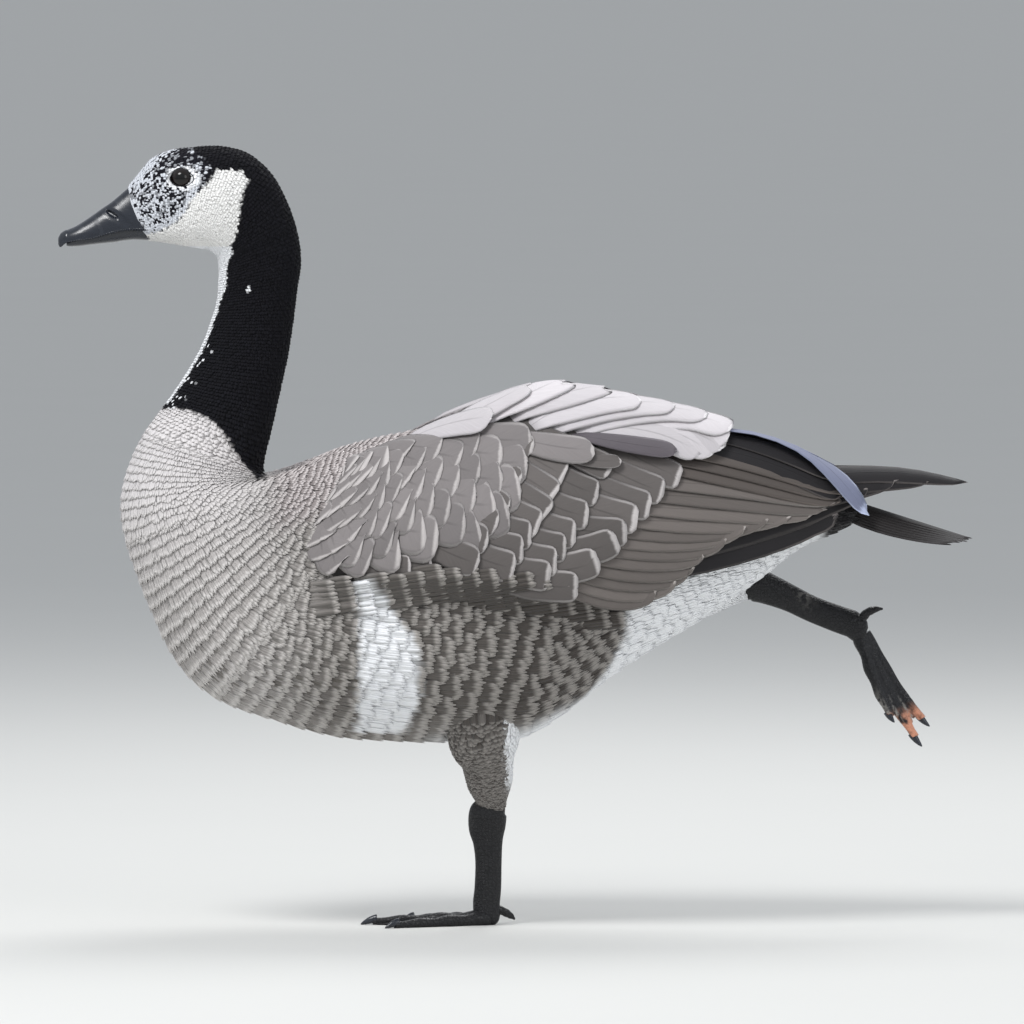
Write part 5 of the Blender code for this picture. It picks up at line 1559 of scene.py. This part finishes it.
def bill_rings(rows, start, end, count, arch):
    """Rings of one half of the bill. Across, a point lies at the half width times the cosine of its
    turn. Along the ring's height, from the lower edge at 0 to the upper one at 1, the upper half is
    the sine, arched above and hollow below, and the lower half is one less the sine."""
    s = np.linspace(start, end, count)[:, None]
    t = np.linspace(0, 2 * math.pi, 96, endpoint=False)[None]
    low_x, low_z, high_x, high_z, width = (value for value in np.moveaxis(read(rows, s + 0 * t), -1, 0))
    across = np.sign(np.cos(t)) * np.abs(np.cos(t)) ** (0.85 if arch else 0.7)
    rise = np.abs(np.sin(t)) ** 0.9
    bulk = np.where(np.sin(t) > 0, rise, 0.22 * rise)
    height = bulk if arch else 1 - np.where(np.sin(t) > 0, rise, 0.15 * rise)
    x = low_x + (high_x - low_x) * height
    z = low_z + (high_z - low_z) * height
    return s + 0 * t, t + 0 * s, np.stack([x, np.maximum(width, 0.3) * across, z], axis=-1)


def make_bill():
    """The bill's two halves. The upper one ends in a raised nail and has the nostrils pressed in,
    and its lower edge is notched by the lamellae."""
    s, t, points = bill_rings(UPPER_BILL, -0.35, len(UPPER_BILL) - 1, 260, True)
    x, y, z = np.moveaxis(points, -1, 0)
    outer = np.sin(t) > 0
    turn = math.radians(32)
    across, up = x - NOSTRIL[0], z - NOSTRIL[1]
    along = across * math.cos(turn) - up * math.sin(turn)
    rise = across * math.sin(turn) + up * math.cos(turn)
    hole = 1 - ramp(np.hypot(along / NOSTRIL[2], rise / NOSTRIL[3]), 0.62, 1.12)
    fossa = 1 - ramp(np.hypot((along - 2.0) / (NOSTRIL[2] * 2.6), rise / (NOSTRIL[3] * 2.3)), 0.5, 1.2)
    press = outer * (2.6 * hole + 0.55 * fossa) * (np.abs(y) > 2)
    nail = ramp(s, 4.85, 5.15) * (np.abs(y) < 7.5) * outer * ramp(np.sin(t), 0.25, 0.55)
    edge = np.exp(-((t % math.pi - math.pi * (np.cos(t) < 0)) / 0.22) ** 2) * outer
    comb = 0.22 * edge * (0.5 + 0.5 * np.cos(2 * math.pi * x / 1.7)) * ramp(-s, -5.2, -4.6)
    normal = np.stack([0 * x, np.cos(t), np.sin(t)], axis=-1)
    points = points + normal * (0.45 * nail - comb)[..., None]
    points[..., 1] -= np.sign(y) * press
    upper = outward(tube_object("bill_upper_horn", points))
    dress(upper, bill_material(), ("bill_upper",))
    _, _, points = bill_rings(LOWER_BILL, -0.35, len(LOWER_BILL) - 1, 200, False)
    points[..., 1] *= 0.91
    lower = outward(tube_object("bill_lower_horn", points))
    dress(lower, bill_material(), ("bill_lower",))


def make_eyes():
    """Each eye is a ball with a bulging cornea, in lids that follow an almond round its opening."""
    for side, word in ((-1, "left"), (1, "right")):
        low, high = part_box("eye_" + word)
        centre = np.array((low + high) / 2) / MM
        radius = (high[0] - low[0]) / 2 / MM
        centre[0], centre[2] = EYE_AT
        angle, around = np.meshgrid(np.linspace(0.02, math.pi - 0.02, 60),
                                    np.linspace(0, 2 * math.pi, 72, endpoint=False), indexing="ij")
        axis = unit(np.array([-0.12, side, 0.03]))
        level = unit(np.cross(axis, [0.0, 0.0, 1.0]))
        upright = np.cross(level, axis)
        size = radius * (1 + 0.05 * ramp(-angle, -0.9, -0.3))
        flat = np.cos(around)[..., None] * level + np.sin(around)[..., None] * upright
        beam = np.cos(angle)[..., None] * axis + np.sin(angle)[..., None] * flat
        points = centre + size[..., None] * beam
        ball = outward(tube_object("eyeball_" + word, points))
        set_value(ball.data, "polar", np.concatenate([angle.ravel(), [0.0, math.pi]]))
        set_value(ball.data, "around", np.concatenate([np.sin(around).ravel(), [0.0, 0.0]]))
        dress(ball, eye_material(), ("eye_" + word,))
        dress(make_lids(side, word), leg_material())


def make_lids(side, word):
    """The lids: a closed band round the eye's almond. Its section is an oval, wide along the
    surface of the head and thin across it."""
    turn, ring = np.meshgrid(np.linspace(0, 2 * math.pi, 120, endpoint=False),
                             np.linspace(0, 2 * math.pi, 24, endpoint=False), indexing="ij")
    reach = 1.04 + 0.07 * np.cos(ring)
    x = EYE_AT[0] + EYE_OPENING[0] * reach * np.cos(turn)
    z = EYE_AT[1] + EYE_OPENING[1] * reach * np.sign(np.sin(turn)) * np.abs(np.sin(turn)) ** 1.12
    s, t = body_place(x, z)
    lift = -0.35 - 1.0 * ramp(-reach, -1.06, -0.96) + 0.6 * np.sin(ring)
    points = BODY.at(s, t, lift)
    points[..., 1] = side * np.abs(points[..., 1])
    rows, columns = points.shape[:2]
    index = np.arange(rows * columns).reshape(rows, columns)
    after, below = np.roll(index, -1, axis=1), np.roll(index, -1, axis=0)
    quads = np.stack([index, after, np.roll(below, -1, axis=1), below], axis=-1).reshape(-1, 4)
    return outward(mesh_object("lids_" + word, points, [quads]))


def toe_rings(base, length, turn, radius, curl):
    """Rings of a toe. Its radius falls to the tip and swells at the joints, its back is ringed by
    scutes, and curl bends the outer half down."""
    share = np.linspace(0, 1, 110)[:, None]
    ring = np.linspace(0, 2 * math.pi, 24, endpoint=False)[None]
    bare = length * (1 - CLAW_SHARE)
    size = radius * (1 - (1 - TOE_TIP) * share) * (1 + 0.09 * np.sin(share * 3 * 2 * math.pi))
    scute = 0.16 * np.maximum(np.sin(ring), 0) ** 0.5 * np.abs(np.sin(math.pi * share * bare / 2.9)) ** 0.6
    drop = curl * bare * np.maximum(0.0, share - 0.45) ** 2
    size = size * np.where(share > 0.985, 0.9, 1.0)
    away = np.array([-math.cos(turn), math.sin(turn), 0.0])
    beside = np.array([math.sin(turn), math.cos(turn), 0.0])
    centre = base + away * (bare * share)[..., None]
    height = 0.82 * size - drop + (size + scute) * np.sin(ring)
    points = centre + beside * ((size + scute) * np.cos(ring))[..., None]
    points[..., 2] += np.maximum(height, 0.02 - drop)
    return points


def claw_rings(base, length, turn, radius, curl):
    """Rings of a claw, which arches forward and narrows to a blunt point."""
    reach = np.linspace(0, 1, 26)[:, None]
    ring = np.linspace(0, 2 * math.pi, 20, endpoint=False)[None]
    bare = length * (1 - CLAW_SHARE)
    away = np.array([-math.cos(turn), math.sin(turn), 0.0])
    beside = np.array([math.sin(turn), math.cos(turn), 0.0])
    size = radius * 0.52 * (1 - reach ** 1.6) ** 0.75 + 0.3
    rise = radius * (0.36 - 0.25 * reach - 0.45 * reach ** 2)
    drop = curl * bare * 0.55 ** 2
    along = bare + length * CLAW_SHARE * (-0.35 + 1.35 * reach)
    points = base + away * (along + 0 * ring)[..., None] + beside * (0.85 * size * np.cos(ring))[..., None]
    height = 0.82 * radius * TOE_TIP - drop + rise + size * np.sin(ring)
    points[..., 2] += np.maximum(height, 0.02 - drop)
    return points


def web_grids(turns, curl):
    """Upper and lower points of the web. Its edge runs from toe tip to toe tip, hollowed by half a
    sine wave, and the rows run out to it from a short line at the joint."""
    corners = [TOES[toe][0] * WEB_REACH * np.array([-math.cos(turns[toe]), math.sin(turns[toe])])
               for toe in ("outer", "middle", "inner")]
    flank = math.copysign(WEB_ROOT[1], turns["outer"])
    share = np.linspace(0, 1, 41)[:, None]
    hollow = 1 - (1 - WEB_HOLLOW) * 0.42 * np.sin(math.pi * share)
    hollow = hollow + 0.012 * np.sin(share * 23)
    edge = np.concatenate([(corners[0] * (1 - share) + corners[1] * share) * hollow,
                           (corners[1] * (1 - share) + corners[2] * share)[1:] * hollow[1:]])
    place = np.linspace(0, 1, len(edge))[:, None]
    root = np.array([WEB_ROOT[0], flank]) * (1 - place) + np.array([WEB_ROOT[0], -flank]) * place
    out = np.linspace(0, 1, 50)[:, None, None]
    flat = root * (1 - out) + edge * out
    bare = TOES["middle"][0] * (1 - CLAW_SHARE)
    drop = curl * bare * np.maximum(0.0, np.linalg.norm(flat, axis=-1) / bare - 0.45) ** 2
    fold = np.abs(np.sin(2 * math.pi * place.T)) * out[..., 0]
    ripple = 0.16 * np.sin(place.T * 90 + 3 * out[..., 0]) * fold
    upper = 1.35 + ripple - 0.45 * fold * out[..., 0] - drop
    lower = 0.22 - drop + 0 * fold
    return (np.concatenate([flat, upper[..., None]], -1), np.concatenate([flat, lower[..., None]], -1))


def foot_place(word):
    """Turn and shift of a foot: level under the standing leg, hanging with its sole back on the
    stretched one."""
    if word == "left":
        ankle = LEFT_LEG[-1]
        return np.eye(3), np.array([ankle[0] + 0.4, ankle[1], 0.0])
    ankle = RIGHT_LEG[-1]
    down = unit(np.array([0.40, -0.10, -0.91]))
    inner = np.array([-0.70, -0.66, 0.0])
    inner = unit(inner - inner @ down * down)
    turn_by = np.stack([-down, -inner, np.cross(down, inner)], axis=1)
    return turn_by, np.array(ankle[:3]) + (10.0, -1.0, -7.0)


def make_leg(word, side, spread, curl):
    """One leg and foot in one skin, and its claws. The ankle is a run of rings from the shank's end
    to the foot's joint."""
    surface = THIGHS[word]
    s, t = np.meshgrid(np.linspace(THIGH_END - 0.5, SHANK_END, 150),
                       np.linspace(0, 2 * math.pi, 40, endpoint=False), indexing="ij")
    lift = -1.5 * ramp(-s, -THIGH_END - 0.2, -THIGH_END + 0.2)
    shank = surface.at(s, t, lift)
    turn_by, shift = foot_place(word)
    end = shank[-1]
    centre = end.mean(axis=0)
    stages = np.array([(0.0, 1.0), (0.45, 1.0), (0.8, 0.86), (1.0, 0.5)])
    stages = read(stages, np.linspace(0, 3, 24)[1:])
    along, girth = stages[:, 0, None, None], stages[:, 1, None, None]
    ankle = centre + (shift - centre) * along + (end - centre) * girth
    if word == "left":
        ankle[..., 2] = np.maximum(ankle[..., 2], 0.02)
    pieces = [outward(tube_object("leg_" + word, np.concatenate([shank, ankle])))]
    turns = {toe: math.radians(values[1] * spread * -side) for toe, values in TOES.items()}
    claws = []
    for toe, (length, _, radius, behind, inner) in TOES.items():
        base = np.array([behind, -side * inner, 0.0])
        for made, rings in ((pieces, toe_rings), (claws, claw_rings)):
            points = rings(base, length, turns[toe], radius, curl) @ turn_by.T + shift
            made.append(outward(tube_object(f"{toe}_{rings.__name__}_{word}", points)))
    top, bottom = (grid @ turn_by.T + shift for grid in web_grids(turns, curl))
    pieces.append(outward(plate_object("web_" + word, top, bottom)))
    pieces.append(outward(tube_object("hind_" + word, hind_rings(word))))
    leg = union("leg_" + word, pieces)
    points = np.empty(len(leg.data.vertices) * 3, np.float32)
    leg.data.vertices.foreach_get("co", points)
    local = (points.reshape(-1, 3) / MM - shift) @ turn_by
    reach = np.hypot(local[:, 0], local[:, 1])
    near = ramp(-np.abs(local[:, 2]), -22, -16)
    strength = 0.0 if word == "left" else 1.0
    set_value(leg.data, "bare", strength * ramp(reach, 54, 64) * near)
    direction = np.arctan2(local[:, 1], -local[:, 0])
    away = np.min([np.abs(direction - turn) * reach for turn in turns.values()], axis=0)
    set_value(leg.data, "worn", strength * ramp(reach, 34, 62) * ramp(away, 2.5, 5.0) * near)
    dress(leg, leg_material(), (word + "_shank", word + "_foot"))
    joined = union("claws_" + word, claws)
    dress(joined, bill_material())


def hind_rings(word):
    """Rings of the hind toe, round the smooth curve through its table."""
    at = np.linspace(0, 3, 60)
    centre = read(HIND_TOES[word], at)
    size = read(np.array(HIND_TOE_RADII)[:, None], at)
    size = size * (1 + 0.05 * np.sin(at[:, None] * 9))
    path = unit(np.gradient(centre, axis=0))
    beside = unit(np.cross(path, [0.0, 1.0, 0.3]))
    other = np.cross(path, beside)
    ring = np.linspace(0, 2 * math.pi, 24, endpoint=False)
    out = np.cos(ring)[None, :, None] * beside[:, None] + np.sin(ring)[None, :, None] * other[:, None]
    return centre[:, None] + out * np.maximum(size, 0.4)[..., None]


def make_legs():
    """The left leg stands, and the right one is stretched back with its foot hanging."""
    make_leg("left", -1, 1.0, 0.0)
    make_leg("right", 1, 0.40, 0.25)


class GOOSE_OT_skin(bpy.types.Operator):
    """Build the skin under the feathers"""

    bl_idname = "goose.skin"
    bl_label = "Skin"

    def execute(self, context):
        make_skin()
        return {"FINISHED"}


class GOOSE_OT_body_coat(bpy.types.Operator):
    """Lay the contour feathers over breast, flanks, back and vent"""

    bl_idname = "goose.body_coat"
    bl_label = "Body Feathers"

    def execute(self, context):
        make_body_coat()
        return {"FINISHED"}


class GOOSE_OT_head_coat(bpy.types.Operator):
    """Lay the fine feathers over head and neck"""

    bl_idname = "goose.head_coat"
    bl_label = "Head and Neck Feathers"

    def execute(self, context):
        make_head_coat()
        return {"FINISHED"}


class GOOSE_OT_thigh_coat(bpy.types.Operator):
    """Lay the small feathers over the thighs"""

    bl_idname = "goose.thigh_coat"
    bl_label = "Thigh Feathers"

    def execute(self, context):
        make_thigh_coat()
        return {"FINISHED"}


class GOOSE_OT_wings(bpy.types.Operator):
    """Build both folded wings"""

    bl_idname = "goose.wings"
    bl_label = "Wings"

    def execute(self, context):
        make_wings()
        return {"FINISHED"}


class GOOSE_OT_tail(bpy.types.Operator):
    """Build the tail's fan"""

    bl_idname = "goose.tail"
    bl_label = "Tail"

    def execute(self, context):
        make_tail()
        return {"FINISHED"}


class GOOSE_OT_bill(bpy.types.Operator):
    """Build both halves of the bill"""

    bl_idname = "goose.bill"
    bl_label = "Bill"

    def execute(self, context):
        make_bill()
        return {"FINISHED"}


class GOOSE_OT_eyes(bpy.types.Operator):
    """Build the eyes and their lids"""

    bl_idname = "goose.eyes"
    bl_label = "Eyes"

    def execute(self, context):
        make_eyes()
        return {"FINISHED"}


class GOOSE_OT_legs(bpy.types.Operator):
    """Build the legs and feet"""

    bl_idname = "goose.legs"
    bl_label = "Legs and Feet"

    def execute(self, context):
        make_legs()
        return {"FINISHED"}


class GOOSE_OT_stage(bpy.types.Operator):
    """Set the floor, the lights and the camera"""

    bl_idname = "goose.stage"
    bl_label = "Stage"

    def execute(self, context):
        make_stage()
        return {"FINISHED"}


STEPS = (GOOSE_OT_skin, GOOSE_OT_body_coat, GOOSE_OT_head_coat, GOOSE_OT_thigh_coat, GOOSE_OT_wings,
         GOOSE_OT_tail, GOOSE_OT_bill, GOOSE_OT_eyes, GOOSE_OT_legs, GOOSE_OT_stage)


class GOOSE_PT_panel(bpy.types.Panel):
    """The goose's settings and steps"""

    bl_idname = "GOOSE_PT_panel"
    bl_label = "Goose"
    bl_space_type = "VIEW_3D"
    bl_region_type = "UI"
    bl_category = "Goose"

    def draw(self, context):
        column = self.layout.column()
        for step in STEPS:
            column.operator(step.bl_idname)
        scene = context.scene
        for group in (scene.goose_coat, scene.goose_stage, scene.goose_colours):
            box = self.layout.box()
            for key in group.bl_rna.properties.keys():
                if key not in ("rna_type", "name"):
                    box.prop(group, key)


CLASSES = (GooseColours, GooseCoat, GooseStage, *STEPS, GOOSE_PT_panel)


def register():
    """Registers the classes and hangs the settings on the scene."""
    for item in CLASSES:
        bpy.utils.register_class(item)
    bpy.types.Scene.goose_colours = bpy.props.PointerProperty(type=GooseColours)
    bpy.types.Scene.goose_coat = bpy.props.PointerProperty(type=GooseCoat)
    bpy.types.Scene.goose_stage = bpy.props.PointerProperty(type=GooseStage)


def unregister():
    """Removes the settings and the classes."""
    del bpy.types.Scene.goose_stage
    del bpy.types.Scene.goose_coat
    del bpy.types.Scene.goose_colours
    for item in reversed(CLASSES):
        bpy.utils.unregister_class(item)


def main():
    """Builds everything."""
    register()
    bpy.ops.goose.skin()
    bpy.ops.goose.body_coat()
    bpy.ops.goose.head_coat()
    bpy.ops.goose.thigh_coat()
    bpy.ops.goose.wings()
    bpy.ops.goose.tail()
    bpy.ops.goose.bill()
    bpy.ops.goose.eyes()
    bpy.ops.goose.legs()
    bpy.ops.goose.stage()


if __name__ == "__main__":
    main()
